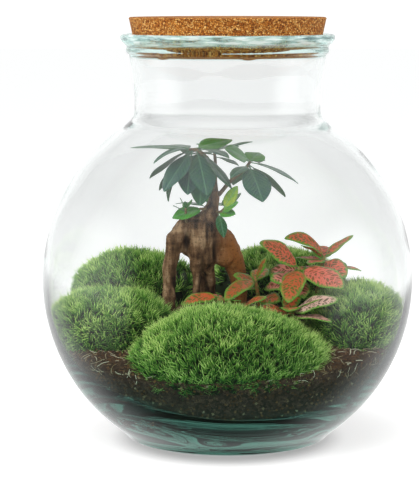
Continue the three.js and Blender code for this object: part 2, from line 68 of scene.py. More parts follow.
# Where the inside's floor meets its side, in degrees from the bottom
FLOOR_EDGE = 42.0
NECK_RADIUS = 59.8
RING_RADIUS = 65.2
RIM_RADIUS = 68.8
RIM_HEIGHT = 261.8
CLEARANCE = 0.3

# Soil sizes, as in the part's source
SOIL_LEVEL = 69.0
SOIL_RISE_BACK = 0.14
SOIL_RISE_RIGHT = 0.045
MOUND_HEIGHT = 15.0
MOUND_SPREAD = 55.0
MOUND_CENTRE_Y = 10.0

# The soil is banked up against the glass at the front left
BANK_HEIGHT = 5.0
BANK_START = 60.0
BANK_RUN = 35.0
BANK_MIDDLE = (-80.0, -42.0)
BANK_REACH = (42.0, 38.0)

# White of the studio's floor and surroundings
STUDIO_WHITE = "#fdfefe"

# How far the tip of a stem stands out of its last ring, as a share of its radius
TUBE_END = 0.4

Point = tuple[float, float, float]
Knot = tuple[float, float, float, float]
Faces = list[tuple[int, ...]]


class Grain(Enum):
    """Attributes that the pieces carry from their making to their materials."""

    TIP = "tip"
    SHADE = "shade"
    COVER = "cover"
    LEAF = "leaf"
    TONE = "tone"
    UNDER = "under"


# Colours and nodes


def linear(hex_colour: str) -> tuple[float, float, float, float]:
    """Turns an sRGB hex colour into linear light.

    Args:
        hex_colour: Six hex digits after a hash sign.

    Returns:
        Linear red, green and blue, and full alpha.
    """
    parts = [int(hex_colour[i : i + 2], 16) / 255 for i in (1, 3, 5)]
    red, green, blue = (
        part / 12.92 if part <= 0.04045 else ((part + 0.055) / 1.055) ** 2.4 for part in parts
    )
    return red, green, blue, 1.0


def add_node(
    tree: NodeTree, kind: str, *values: object, stops: Sequence[tuple[float, str]] = (), **settings: object
) -> Node:
    """Adds a node with its settings, values and links.

    Args:
        tree: The node tree that gets the node.
        kind: Blender's name for the type of node, without a leading ShaderNode.
        values: What its inputs get, in their order: a value, a hex colour, a socket to
            link from, or a node whose first output is linked.
        stops: Places and hex colours of a colour ramp.
        settings: Properties of the node, and inputs by name, which start with a capital
            and have _ for a space.

    Returns:
        The new node.
    """
    node = tree.nodes.new(kind if "Node" in kind else f"ShaderNode{kind}")
    named = {key.replace("_", " "): settings.pop(key) for key in [*settings] if key[0].isupper()}
    for name, value in settings.items():
        setattr(node, name, value)
    inputs = [socket for socket in node.inputs if socket.enabled]
    given = [*zip(inputs, values)]
    for name, value in named.items():
        given.append((next(socket for socket in inputs if socket.name == name), value))
    for socket, value in given:
        if isinstance(value, Node):
            value = next(output for output in value.outputs if output.enabled)
        if isinstance(value, NodeSocket):
            tree.links.new(value, socket)
        else:
            is_colour = isinstance(value, str) and value.startswith("#")
            socket.default_value = linear(value) if is_colour else value
    if stops:
        ramp = node.color_ramp.elements
        while len(ramp) < len(stops):
            ramp.new(1.0)
        for element, (place, colour) in zip(ramp, stops):
            element.position = place
            element.color = linear(colour)
    return node


def new_material(name: str) -> tuple[Material, Callable[..., Node]]:
    """Makes an empty node material.

    Args:
        name: What the real material is.

    Returns:
        The material, and add_node for its node tree.
    """
    material = bpy.data.materials.new(name)
    material.use_nodes = True
    material.node_tree.nodes.clear()
    return material, partial(add_node, material.node_tree)


def per_metre(size_mm: float) -> float:
    """Gives the texture scale at which a pattern repeats every size_mm millimetres."""
    return 1.0 / (size_mm * MM)


# Meshes


def grid_faces(rows: int, columns: int, wrap: bool = False) -> Faces:
    """Lists the faces of a grid of points.

    Args:
        rows: Count of rows.
        columns: Count of points in a row.
        wrap: True if each row is a closed ring.

    Returns:
        The corners of each face.
    """
    faces = []
    for row in range(rows - 1):
        for column in range(columns if wrap else columns - 1):
            here, there = row * columns + column, row * columns + (column + 1) % columns
            faces.append((here, there, there + columns, here + columns))
    return faces


def closed_rings(count: int, sides: int) -> Faces:
    """Lists the faces of rings of points, closed by one more point at each end.

    Args:
        count: Count of rings.
        sides: Points in each ring. The two end points follow the rings.

    Returns:
        The corners of each face.
    """
    faces = grid_faces(count, sides, wrap=True)
    first, last = count * sides, (count - 1) * sides
    faces += [(first, (k + 1) % sides, k) for k in range(sides)]
    faces += [(first + 1, last + k, last + (k + 1) % sides) for k in range(sides)]
    return faces


def directions(sides: int) -> np.ndarray:
    """Gives evenly spread directions about the Z axis, in radians."""
    return np.arange(sides) / sides * math.tau


def ring(radius: np.ndarray | float, turn: np.ndarray, height: np.ndarray | float) -> np.ndarray:
    """Gives points about the Z axis at directions in radians, one in a row."""
    up = np.broadcast_to(height, turn.shape)
    return np.column_stack((radius * np.cos(turn), radius * np.sin(turn), up))


def apart(turn: np.ndarray, degrees: float) -> np.ndarray:
    """Gives the angle in radians between directions and one that is given in degrees."""
    return np.angle(np.exp(1j * (turn - math.radians(degrees))))


def bell(*away: np.ndarray) -> np.ndarray:
    """Gives a soft hill, 1 where the distances, as shares of its width, are all 0."""
    return np.exp(-sum(part**2 for part in away))


def drawn_in(points: np.ndarray, middle: Point, depths: np.ndarray) -> np.ndarray:
    """Draws points towards a middle.

    Args:
        points: One point in a row.
        middle: Where they are drawn to.
        depths: How far each one moves.

    Returns:
        The moved points.
    """
    inward = np.array(middle) - points
    inward /= np.linalg.norm(inward, axis=1, keepdims=True)
    return points + inward * depths[:, None]


@dataclass
class Sketch:
    """One piece while it is drawn, in millimetres.

    Attributes:
        name: The piece's name.
        points: Arrays of points, joined when the mesh is made.
        faces: The corners of each face.
        finishes: The material's place in the list, for each face.
        values: For each array of points, its attribute arrays by name.
    """

    name: str
    points: list[np.ndarray] = field(default_factory=list)
    faces: Faces = field(default_factory=list)
    finishes: list[int] = field(default_factory=list)
    values: list[dict[str, np.ndarray]] = field(default_factory=list)

    def add(
        self,
        points: np.ndarray,
        faces: Faces,
        finish: int = 0,
        values: Mapping[Grain, np.ndarray] | None = None,
    ) -> None:
        """Adds a shape to the piece.

        Args:
            points: Its points, one in a row.
            faces: Its faces, counted from its own first point.
            finish: The place of its material in the list.
            values: Its attributes, one value or vector for each point.
        """
        offset = sum(len(part) for part in self.points)
        self.points.append(np.asarray(points, float))
        self.faces += [tuple(corner + offset for corner in face) for face in faces]
        self.finishes += [finish] * len(faces)
        self.values.append({grain.value: value for grain, value in (values or {}).items()})

    def add_tube(self, knots: Sequence[Knot], sides: int, steps: int, finish: int = 0) -> None:
        """Adds a closed tapering tube through knots.

        Args:
            knots: Points of the middle line with a radius each.
            sides: Count of sides.
            steps: Count of rings between two knots.
            finish: The place of its material in the list.
        """
        path = smooth_path(np.asarray(knots, float), steps)
        centres, radii = path[:, :3], path[:, 3]
        tangents = np.gradient(centres, axis=0)
        tangents /= np.linalg.norm(tangents, axis=1, keepdims=True)
        side = np.cross(tangents[0], (0.3, 1.0, 0.1))
        turn = directions(sides)
        rings = []
        for centre, tangent, radius in zip(centres, tangents, radii):
            side = side - tangent * side.dot(tangent)
            side /= np.linalg.norm(side)
            other = np.cross(tangent, side)
            rings.append(centre + radius * (np.outer(np.cos(turn), side) + np.outer(np.sin(turn), other)))
        start = centres[:1] - tangents[:1] * radii[0] * TUBE_END
        end = centres[-1:] + tangents[-1:] * radii[-1] * TUBE_END
        self.add(np.vstack([*rings, start, end]), closed_rings(len(rings), sides), finish)

    def finished(self, materials: Sequence[Material]) -> Object:
        """Makes the object, at the origin with its place in its mesh.

        Args:
            materials: The materials that the faces' finishes count from.

        Returns:
            The linked object, smooth shaded, with its faces turned outwards.
        """
        mesh = bpy.data.meshes.new(self.name)
        mesh.from_pydata((np.vstack(self.points) * MM).tolist(), [], self.faces)
        mesh.polygons.foreach_set("material_index", self.finishes)
        mesh.polygons.foreach_set("use_smooth", [True] * len(self.faces))
        for name in sorted({key for part in self.values for key in part}):
            wide = next(part[name] for part in self.values if name in part).ndim == 2
            rows = [
                part.get(name, np.zeros((len(places), 3) if wide else len(places)))
                for part, places in zip(self.values, self.points)
            ]
            attribute = mesh.attributes.new(name, "FLOAT_VECTOR" if wide else "FLOAT", "POINT")
            values = np.concatenate(rows).astype(np.float32).ravel()
            attribute.data.foreach_set("vector" if wide else "value", values)
        for material in materials:
            mesh.materials.append(material)
        mesh.validate()
        piece = bpy.data.objects.new(self.name, mesh)
        bpy.context.scene.collection.objects.link(piece)
        drawn = bmesh.new()
        drawn.from_mesh(mesh)
        bmesh.ops.recalc_face_normals(drawn, faces=drawn.faces)
        drawn.to_mesh(mesh)
        drawn.free()
        return piece


def smooth_path(knots: np.ndarray, steps: int) -> np.ndarray:
    """Draws a smooth line through knots.

    Args:
        knots: One knot in a row, with any count of values.
        steps: Count of points from one knot to the next.

    Returns:
        The points of the line, both ends included.
    """
    ends = [2 * knots[0] - knots[1], *knots, 2 * knots[-1] - knots[-2]]
    line = []
    for a, b, c, d in zip(ends, ends[1:], ends[2:], ends[3:]):
        for t in (step / steps for step in range(steps)):
            square, cube = (2 * a - 5 * b + 4 * c - d) * t**2, (3 * b - a - 3 * c + d) * t**3
            line.append(0.5 * (2 * b + (c - a) * t + square + cube))
    return np.array([*line, knots[-1]])


def rounded_profile(knots: np.ndarray, samples: int) -> np.ndarray:
    """Rounds the corners of a profile between the middles of its sides.

    Args:
        knots: One knot in a row, with any count of values.
        samples: Count of points for each rounded corner.

    Returns:
        The points of the profile, with the first and last knot kept.
    """
    middles = (knots[1:] + knots[:-1]) / 2
    line = [knots[0]]
    for before, knot, after in zip(middles, knots[1:-1], middles[1:]):
        for t in np.arange(samples) / samples:
            line.append((1 - t) ** 2 * before + 2 * t * (1 - t) * knot + t**2 * after)
    return np.array([*line, middles[-1], knots[-1]])


def ripple(angle: np.ndarray, height: float, seed: int) -> np.ndarray:
    """Gives soft waves round a turned surface, from about -1 to 1.

    Args:
        angle: Directions about the axis, in radians.
        height: The place along the profile, in millimetres.
        seed: Picks the waves.

    Returns:
        The height of the waves at each place.
    """
    draw = random.Random(seed)
    total = np.zeros_like(angle)
    for turns in (1, 2, 3, 5, 7, 9):
        length = draw.uniform(38, 90)
        phase = draw.uniform(0, math.tau)
        lean = draw.choice((-1, 1))
        total += np.sin(turns * angle + lean * height / length * math.tau + phase) / turns**0.5
    return total / 3.4


def lumps(points: np.ndarray, size: float, seed: float = 0.0) -> np.ndarray:
    """Gives noise from about -1 to 1 at points, with lumps about size millimetres apart."""
    shift = Vector((seed, seed * 1.7, seed * 2.3))
    return np.array([noise.noise(Vector(point) / size + shift) for point in points])


def settle(piece: Object) -> None:
    """Gives a piece the mesh that its modifiers make, and removes them.

    Args:
        piece: The object, whose old mesh is removed too.
    """
    bpy.context.view_layer.update()
    graph = bpy.context.evaluated_depsgraph_get()
    mesh = bpy.data.meshes.new_from_object(piece.evaluated_get(graph))
    piece.modifiers.clear()
    old = piece.data
    piece.data = mesh
    mesh.name = piece.name
    bpy.data.meshes.remove(old)


def discard(piece: Object) -> None:
    """Removes a helper object with its mesh."""
    bpy.data.meshes.remove(piece.data)


def as_piece(piece: Object, slot: str, *nodes: str) -> None:
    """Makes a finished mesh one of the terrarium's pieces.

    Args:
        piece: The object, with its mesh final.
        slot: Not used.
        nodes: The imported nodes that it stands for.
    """
    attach(piece, BODY)
    if nodes:
        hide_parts(*nodes)
    LOG.info("%s: %d faces", piece.name, len(piece.data.polygons))


# Finishes


@dataclass(frozen=True)
class BottleGlass:
    """Recycled soda-lime bottle glass, blown: clear when thin, blue-green when thick.

    Attributes:
        passed: The colour of light that has passed the glass.
        density: How fast thick glass takes up the other colours, per metre.
        ior: Its index of refraction.
        foot: The tint at the foot.
        base: The tint where the ball starts.
        rim: The tint at the rim.
        rim_start: The heights between which the rim's fine waves fade in.
        wave: The size of those waves.
    """

    passed: str = "#a3c6bf"
    density: float = 12.0
    ior: float = 1.5
    foot: str = "#80b4a6"
    base: str = "#9ac3b8"
    # rim: The tint at the rim, and the middle colour of its painted shine.
    rim: str = "#c3e2dc"
    # rim_start: The heights between which the painted shine of the rim's fine waves fades in.
    rim_start: tuple[float, float] = (254.5, 257.0)
    wave: float = 14.0

    def material(self) -> Material:
        """Makes the glass, which lets lamps light what it holds, with a painted shine on its rim.

        Returns:
            The material.
        """
        material, add = new_material("recycled_bottle_glass")
        place = add("TexCoord").outputs["Object"]
        up = add("SeparateXYZ", place).outputs["Z"]
        part = add("MapRange", up, 0.0, RIM_HEIGHT * MM)
        clear = ((0.31, "#ffffff"), (0.94, "#ffffff"))
        tints = add("ValToRGB", part, stops=[(0.03, self.foot), (0.18, self.base), *clear, (0.97, self.rim)])
        body = add("BsdfPrincipled", tints, Roughness=0.0, IOR=self.ior, Transmission_Weight=1.0)
        # The rolled rim is full of waves finer than the mesh; the light they would catch is painted on, as
        # pale and dark teal that partly shines by itself
        start, end = self.rim_start
        rolled = add("MapRange", up, start * MM, end * MM, 0.0, 0.5)
        waves = add("TexNoise", add("Mapping", place, Scale=(1.0, 1.0, 7.0)), per_metre(self.wave), 3.0)
        spread = add("MapRange", waves, 0.38, 0.62, 0.35)
        painted_rim_light_share = add("Math", rolled, spread, operation="MULTIPLY")
        rim_shine_colours = add("ValToRGB", waves, stops=[(0.36, "#6f9a9c"), (0.5, self.rim), (0.64, "#eef7f5")])
        painted_rim_shine = add("BsdfPrincipled", rim_shine_colours, Roughness=0.3, Emission_Color=rim_shine_colours, Emission_Strength=0.3)
        body = add("MixShader", painted_rim_light_share, body, painted_rim_shine)
        path = add("LightPath").outputs
        lit = add("Math", path["Is Shadow Ray"], path["Is Diffuse Ray"], operation="MAXIMUM")
        mix = add("MixShader", lit, body, add("BsdfTransparent", (1, 1, 1, 1)))
        add("OutputMaterial", mix, add("VolumeAbsorption", self.passed, self.density))
        return material


@dataclass(frozen=True)
class GranulatedCork:
    """Pressed cork: warm brown granules of 1 to 2 mm with dark gaps between.

    Attributes:
        granule: The size of a granule.
        bend: The size of the waves in the granules' outlines.
        shift: How far those waves move the outlines.
        fleck: The size of the flecks in a granule.
        gap: How deep the gaps are.
    """

    granule: float = 1.2
    bend: float = 1.6
    shift: float = 1.1
    fleck: float = 0.9
    gap: float = 0.4

    def material(self) -> Material:
        """Makes the cork, dry and matt, with pores between its granules.

        Returns:
            The material.
        """
        material, add = new_material("granulated_cork")
        place = add("TexCoord").outputs["Object"]
        bend = add("TexNoise", place, per_metre(self.bend), 2.0).outputs["Color"]
        moved = add("VectorMath", bend, (self.shift * MM,) * 3, place, operation="MULTIPLY_ADD")
        cells = add("TexVoronoi", moved, per_metre(self.granule))
        gaps = add("TexVoronoi", moved, per_metre(self.granule), feature="DISTANCE_TO_EDGE")
        flecks = add("TexNoise", place, per_metre(self.fleck), 3.0)
        grain = add("Mix", 0.72, cells.outputs["Color"], flecks.outputs["Color"], data_type="RGBA")
        browns = [(0.36, "#52270a"), (0.45, "#b5641a"), (0.54, "#da9038"), (0.64, "#f2c577")]
        colours = add("ValToRGB", grain, stops=browns)
        seam = add("MapRange", gaps, 0.0, 0.14)
        colour = add("Mix", seam, "#6b370b", colours, data_type="RGBA")
        bump = add("Bump", Height=seam, Distance=self.gap * MM, Strength=0.8)
        add("OutputMaterial", add("BsdfPrincipled", colour, Roughness=0.88, Normal=bump))
        return material


@dataclass(frozen=True)
class PottingSoil:
    """Damp peat and bark crumbs of 1 to 3 mm: near black, with reddish and pale bits.

    Attributes:
        crumb: The size of a crumb.
        grit: The size of the finest grains.
        patch: The size of warmer and cooler patches.
        dry: The heights between which the soil turns drier and paler.
        relief: How far crumbs stand out.
    """

    crumb: float = 2.0
    grit: float = 1.1
    patch: float = 9.0
    dry: tuple[float, float] = (46.0, 70.0)
    relief: float = 2.2

    def material(self) -> Material:
        """Makes the soil, rough and dark, with a little wet shine.

        Returns:
            The material.
        """
        material, add = new_material("peat_potting_soil")
        place = add("TexCoord").outputs["Object"]
        shade = add("Attribute", attribute_name=Grain.SHADE.value).outputs["Fac"]
        patches = add("TexNoise", place, per_metre(self.patch), 3.0)
        crumbs = add("TexVoronoi", place, per_metre(self.crumb)).outputs["Color"]
        fine = add("TexNoise", place, per_metre(self.grit), 4.0, Roughness=0.7)
        mixed = add("Math", crumbs, fine, operation="MULTIPLY")
        peat = [(0.06, "#21171a"), (0.22, "#4a3433"), (0.38, "#805f51"), (0.55, "#b48560")]
        warm = add("Mix", patches, add("ValToRGB", mixed, stops=peat), "#46301f", data_type="RGBA")
        # Loose crumbs carry a shade above 0: dark ones, a few of bark, and rare pale grit
        bits = [(0.0, "#15100d"), (0.5, "#55392f"), (0.8, "#6e472c"), (0.95, "#96653f")]
        specks = add("ValToRGB", shade, stops=[*bits, (0.999, "#bfae92")])
        is_crumb = add("Math", shade, 0.001, operation="GREATER_THAN")
        colour = add("Mix", is_crumb, warm, specks, data_type="RGBA")
        damp_end, dry_start = self.dry
        up = add("SeparateXYZ", place).outputs["Z"]
        dry = add("MapRange", up, damp_end * MM, dry_start * MM, 0.0, 0.5)
        dried = add("Mix", dry, colour, "#5b3d2c", data_type="RGBA")
        bump = add("Bump", Height=mixed, Distance=self.relief * MM, Strength=1.0)
        add("OutputMaterial", add("BsdfPrincipled", dried, Roughness=0.8, Normal=bump))
        return material


@dataclass(frozen=True)
class CushionMoss:
    """Living cushion moss: fine soft needles, yellow-green at the tip and dark at the root, partly its own
    colour and partly painted shade.

    Its tufts differ in colour, so the cushions have paler and darker patches.
    """

    # The root colour is partly the moss's own and partly painted shade deep in the cushion; the bare body
    # under the needles gets it too
    root: str = "#17240a"
    middle: str = "#41782a"
    tip: str = "#bfe07c"
    tuft: float = 17.0

    def material(self) -> Material:
        """Makes the moss, coloured along each needle, with painted shade at the root, and from tuft to tuft.

        Returns:
            The material.
        """
        material, add = new_material("cushion_moss_needles")
        place = add("TexCoord").outputs["Object"]
        tip = add("Attribute", attribute_name=Grain.TIP.value).outputs["Fac"]
        shade = add("Attribute", attribute_name=Grain.SHADE.value).outputs["Fac"]
        tufts = add("TexNoise", place, per_metre(self.tuft), 2.0)
        spread = add("MapRange", shade, 0.0, 1.0, -0.3, 0.3)
        along = add("Math", tip, spread, operation="ADD")
        lift = add("Math", tufts, 0.9, along, operation="MULTIPLY_ADD")
        centred = add("Math", lift, 0.45, operation="SUBTRACT")
        # Painted shade darkens each needle towards its root
        greens = [(0.1, self.root), (0.5, self.middle), (0.8, "#74ab3c"), (1.0, self.tip)]
        colours = add("ValToRGB", centred, stops=greens)
        add("OutputMaterial", add("BsdfPrincipled", colours, Roughness=0.6))
        return material


@dataclass(frozen=True)
class FigBark:
    """Smooth fig bark: grey-brown with paler patches, fine rings and upright furrows.

    Attributes:
        dark: The colour in furrows and pores, and of the painted shade in clefts and deep furrows.
        middle: The colour of most of it.
        pale: The colour of the palest patches.
        furrow: The distance between furrows, which are five times as long.
        band: The size of the rings, which lie flat round the trunk.
        patch: The size of the patches.
        pore: The distance between pores.
        scar: The places along X between which the bark turns reddish.
        relief: How deep furrows are.
    """

    dark: str = "#1d130b"
    middle: str = "#705439"
    pale: str = "#9a7f60"
    furrow: float = 3.2
    band: float = 3.4
    patch: float = 11.0
    pore: float = 1.7
    scar: tuple[float, float] = (-10.0, 4.0)
    relief: float = 0.9

    def material(self) -> Material:
        """Makes the bark, warmer towards the right root, as where it was scarred, and darkened with painted
        shade in clefts and deep furrows.

        Returns:
            The material.
        """
        material, add = new_material("ginseng_fig_bark")
        place = add("TexCoord").outputs["Object"]
        tall = add("Mapping", place, Scale=(1.0, 1.0, 0.2))
        flat = add("Mapping", place, Scale=(0.3, 0.3, 1.6))
        furrows = add("TexNoise", tall, per_metre(self.furrow), 5.0)
        bands = add("TexNoise", flat, per_metre(self.band), 2.0)
        patches = add("TexNoise", place, per_metre(self.patch), 3.0)
        streaks = add("Math", bands, 0.3, furrows, operation="MULTIPLY_ADD")
        total = add("Math", patches, 0.7, streaks, operation="MULTIPLY_ADD")
        part = add("MapRange", total, 0.76, 1.2)
        browns = [(0.0, self.dark), (0.3, "#4a3420"), (0.65, self.middle), (1.0, self.pale)]
        colours = add("ValToRGB", part, stops=browns)
        # Painted shade, which the trunk carries in its clefts and deepest furrows, darkens the bark like its
        # pores
        painted_crease_shade = add("Attribute", attribute_name=Grain.SHADE.value).outputs["Fac"]
        pores = add("TexVoronoi", place, per_metre(self.pore))
        pore = add("MapRange", pores, 0.12, 0.4, 0.55, 0.0)
        deep = add("Math", painted_crease_shade, pore, operation="MAXIMUM")
        across = add("SeparateXYZ", place).outputs["X"]
        start, end = self.scar
        right = add("MapRange", across, start * MM, end * MM, 0.0, 0.75)
        colour = add("Mix", right, colours, "#a0632a", data_type="RGBA")
        darker = add("Mix", deep, colour, self.dark, data_type="RGBA")
        bump = add("Bump", Height=streaks, Distance=self.relief * MM, Strength=0.7)
        add("OutputMaterial", add("BsdfPrincipled", darker, Roughness=0.75, Normal=bump))
        return material


@dataclass(frozen=True)
class YoungStem:
    """A young twig or stem, smooth and slightly waxy, mottled in a low and a high colour."""

    name: str
    low: str
    high: str
    mottle: float = 2.0

    def material(self) -> Material:
        """Makes the stem.

        Returns:
            The material.
        """
        material, add = new_material(self.name)
        mottle = add("TexNoise", add("TexCoord").outputs["Object"], per_metre(self.mottle), 3.0)
        colours = add("ValToRGB", mottle, stops=[(0.35, self.low), (0.65, self.high)])
        add("OutputMaterial", add("BsdfPrincipled", colours, Roughness=0.6))
        return material


@dataclass(frozen=True)
class FigLeafSkin:
    """Leathery fig leaf: waxy dark green above with a pale midrib, duller below.

    Attributes:
        dark: The colour of the oldest leaves.
        bright: The colour of young leaves.
        rib: The colour of the midrib and veins.
        vein: The distance between side veins.
        mottle: The size of paler and darker patches.
        relief: How deep the veins are.
    """

    dark: str = "#0e4143"
    bright: str = "#4f9a26"
    rib: str = "#639573"
    vein: float = 2.6
    mottle: float = 4.0
    relief: float = 0.3

    def material(self) -> Material:
        """Makes the leaf, with side veins on each side of the midrib.

        Returns:
            The material.
        """
        material, add = new_material("fig_leaf_waxy")
        leaf = add("Attribute", attribute_name=Grain.LEAF.value).outputs["Vector"]
        tone = add("Attribute", attribute_name=Grain.TONE.value).outputs["Fac"]
        under = add("Attribute", attribute_name=Grain.UNDER.value).outputs["Fac"]
        parts = add("SeparateXYZ", leaf).outputs
        across = add("Math", parts["X"], operation="ABSOLUTE")
        midrib = add("MapRange", across, 0.15, 0.75, 1.0, 0.0)
        slant = add("Math", across, -0.8, parts["Y"], operation="MULTIPLY_ADD")
        vein_wave = add("Math", slant, math.tau / self.vein, operation="MULTIPLY")
        veins = add("Math", vein_wave, operation="COSINE")
        vein_line = add("MapRange", veins, 0.7, 1.0, 0.0, 0.34)
        mottle = add("TexNoise", leaf, 1.0 / self.mottle, 3.0)
        brighter = add("Math", mottle, 0.45, tone, operation="MULTIPLY_ADD")
        greens = [(0.18, self.dark), (0.45, "#28622f"), (0.75, self.bright), (0.98, "#b4c034")]
        skin = add("ValToRGB", brighter, stops=greens)
        veined = add("Mix", vein_line, skin, self.rib, data_type="RGBA")
        rib_share = add("Math", midrib, 0.48, operation="MULTIPLY")
        ribbed = add("Mix", rib_share, veined, self.rib, data_type="RGBA")
        under_share = add("Math", under, 0.35, operation="MULTIPLY")
        colour = add("Mix", under_share, ribbed, "#7fa07a", data_type="RGBA")
        relief = add("Math", midrib, vein_line, operation="ADD")
        bump = add("Bump", Height=relief, Distance=self.relief * MM, Strength=0.5, invert=True)
        add("OutputMaterial", add("BsdfPrincipled", colour, Roughness=0.32, Normal=bump))
        return material


@dataclass(frozen=True)
class NerveLeafSkin:
    """Nerve plant leaf: red to pink with a net of darker veins and a green margin.

    Attributes:
        net: The width of the net's meshes.
        margin: The width of the green margin.
        relief: How far the meshes stand out.
    """

    net: float = 2.1
    margin: float = 2.3
    relief: float = 0.4

    def material(self) -> Material:
        """Makes the leaf, whose tone goes from orange red to pale pink.

        Returns:
            The material.
        """
        material, add = new_material("nerve_plant_leaf")
        leaf = add("Attribute", attribute_name=Grain.LEAF.value).outputs["Vector"]
        tone = add("Attribute", attribute_name=Grain.TONE.value).outputs["Fac"]
        parts = add("SeparateXYZ", leaf).outputs
        across = add("Math", parts["X"], operation="ABSOLUTE")
        leaned = add("Math", across, -0.7, parts["Y"], operation="MULTIPLY_ADD")
        seed = add("Math", tone, 37.0, operation="MULTIPLY")
        slim = add("Math", parts["X"], 0.6, operation="MULTIPLY")
        flat = add("CombineXYZ", X=slim, Y=leaned, Z=seed)
        net = add("TexVoronoi", flat, 1.0 / self.net, Randomness=0.9, feature="DISTANCE_TO_EDGE")
        island = add("MapRange", net, 0.09, 0.19)
        rough_edge = add("Math", net, -2.2, parts["Z"], operation="MULTIPLY_ADD")
        margin = add("MapRange", rough_edge, self.margin * 0.1, self.margin, 1.0, 0.0)
        reds = [(0.0, "#a8532a"), (0.3, "#cb5a33"), (0.6, "#cf6650"), (0.85, "#dc9a8c"), (1.0, "#d8b8a8")]
        blade = add("ValToRGB", tone, stops=reds)
        darks = [(0.0, "#5a6a1c"), (0.4, "#564f17"), (0.62, "#7a4a22"), (1.0, "#54482f")]
        islands = add("ValToRGB", tone, stops=darks)
        island_share = add("Math", island, 0.95, operation="MULTIPLY")
        inner = add("Mix", island_share, blade, islands, data_type="RGBA")
        colour = add("Mix", margin, inner, "#5b8f2e", data_type="RGBA")
        bump = add("Bump", Height=island, Distance=self.relief * MM, Strength=0.6)
        add("OutputMaterial", add("BsdfPrincipled", colour, Roughness=0.5, Normal=bump))
        return material


@dataclass(frozen=True)
class DryStraw:
    """Dead moss strands and plant fibres, bleached pale or reddish brown."""

    def material(self) -> Material:
        """Makes the strands, each of its own shade.

        Returns:
            The material.
        """
        material, add = new_material("dry_plant_fibre")
        shade = add("Attribute", attribute_name=Grain.SHADE.value).outputs["Fac"]
        straws = [(0.0, "#5f3a22"), (0.45, "#9a6b45"), (0.7, "#bda883"), (1.0, "#e3dac3")]
        colours = add("ValToRGB", shade, stops=straws)
        add("OutputMaterial", add("BsdfPrincipled", colours, Roughness=0.8))
        return material


# Scattering of needles, crumbs and fibres


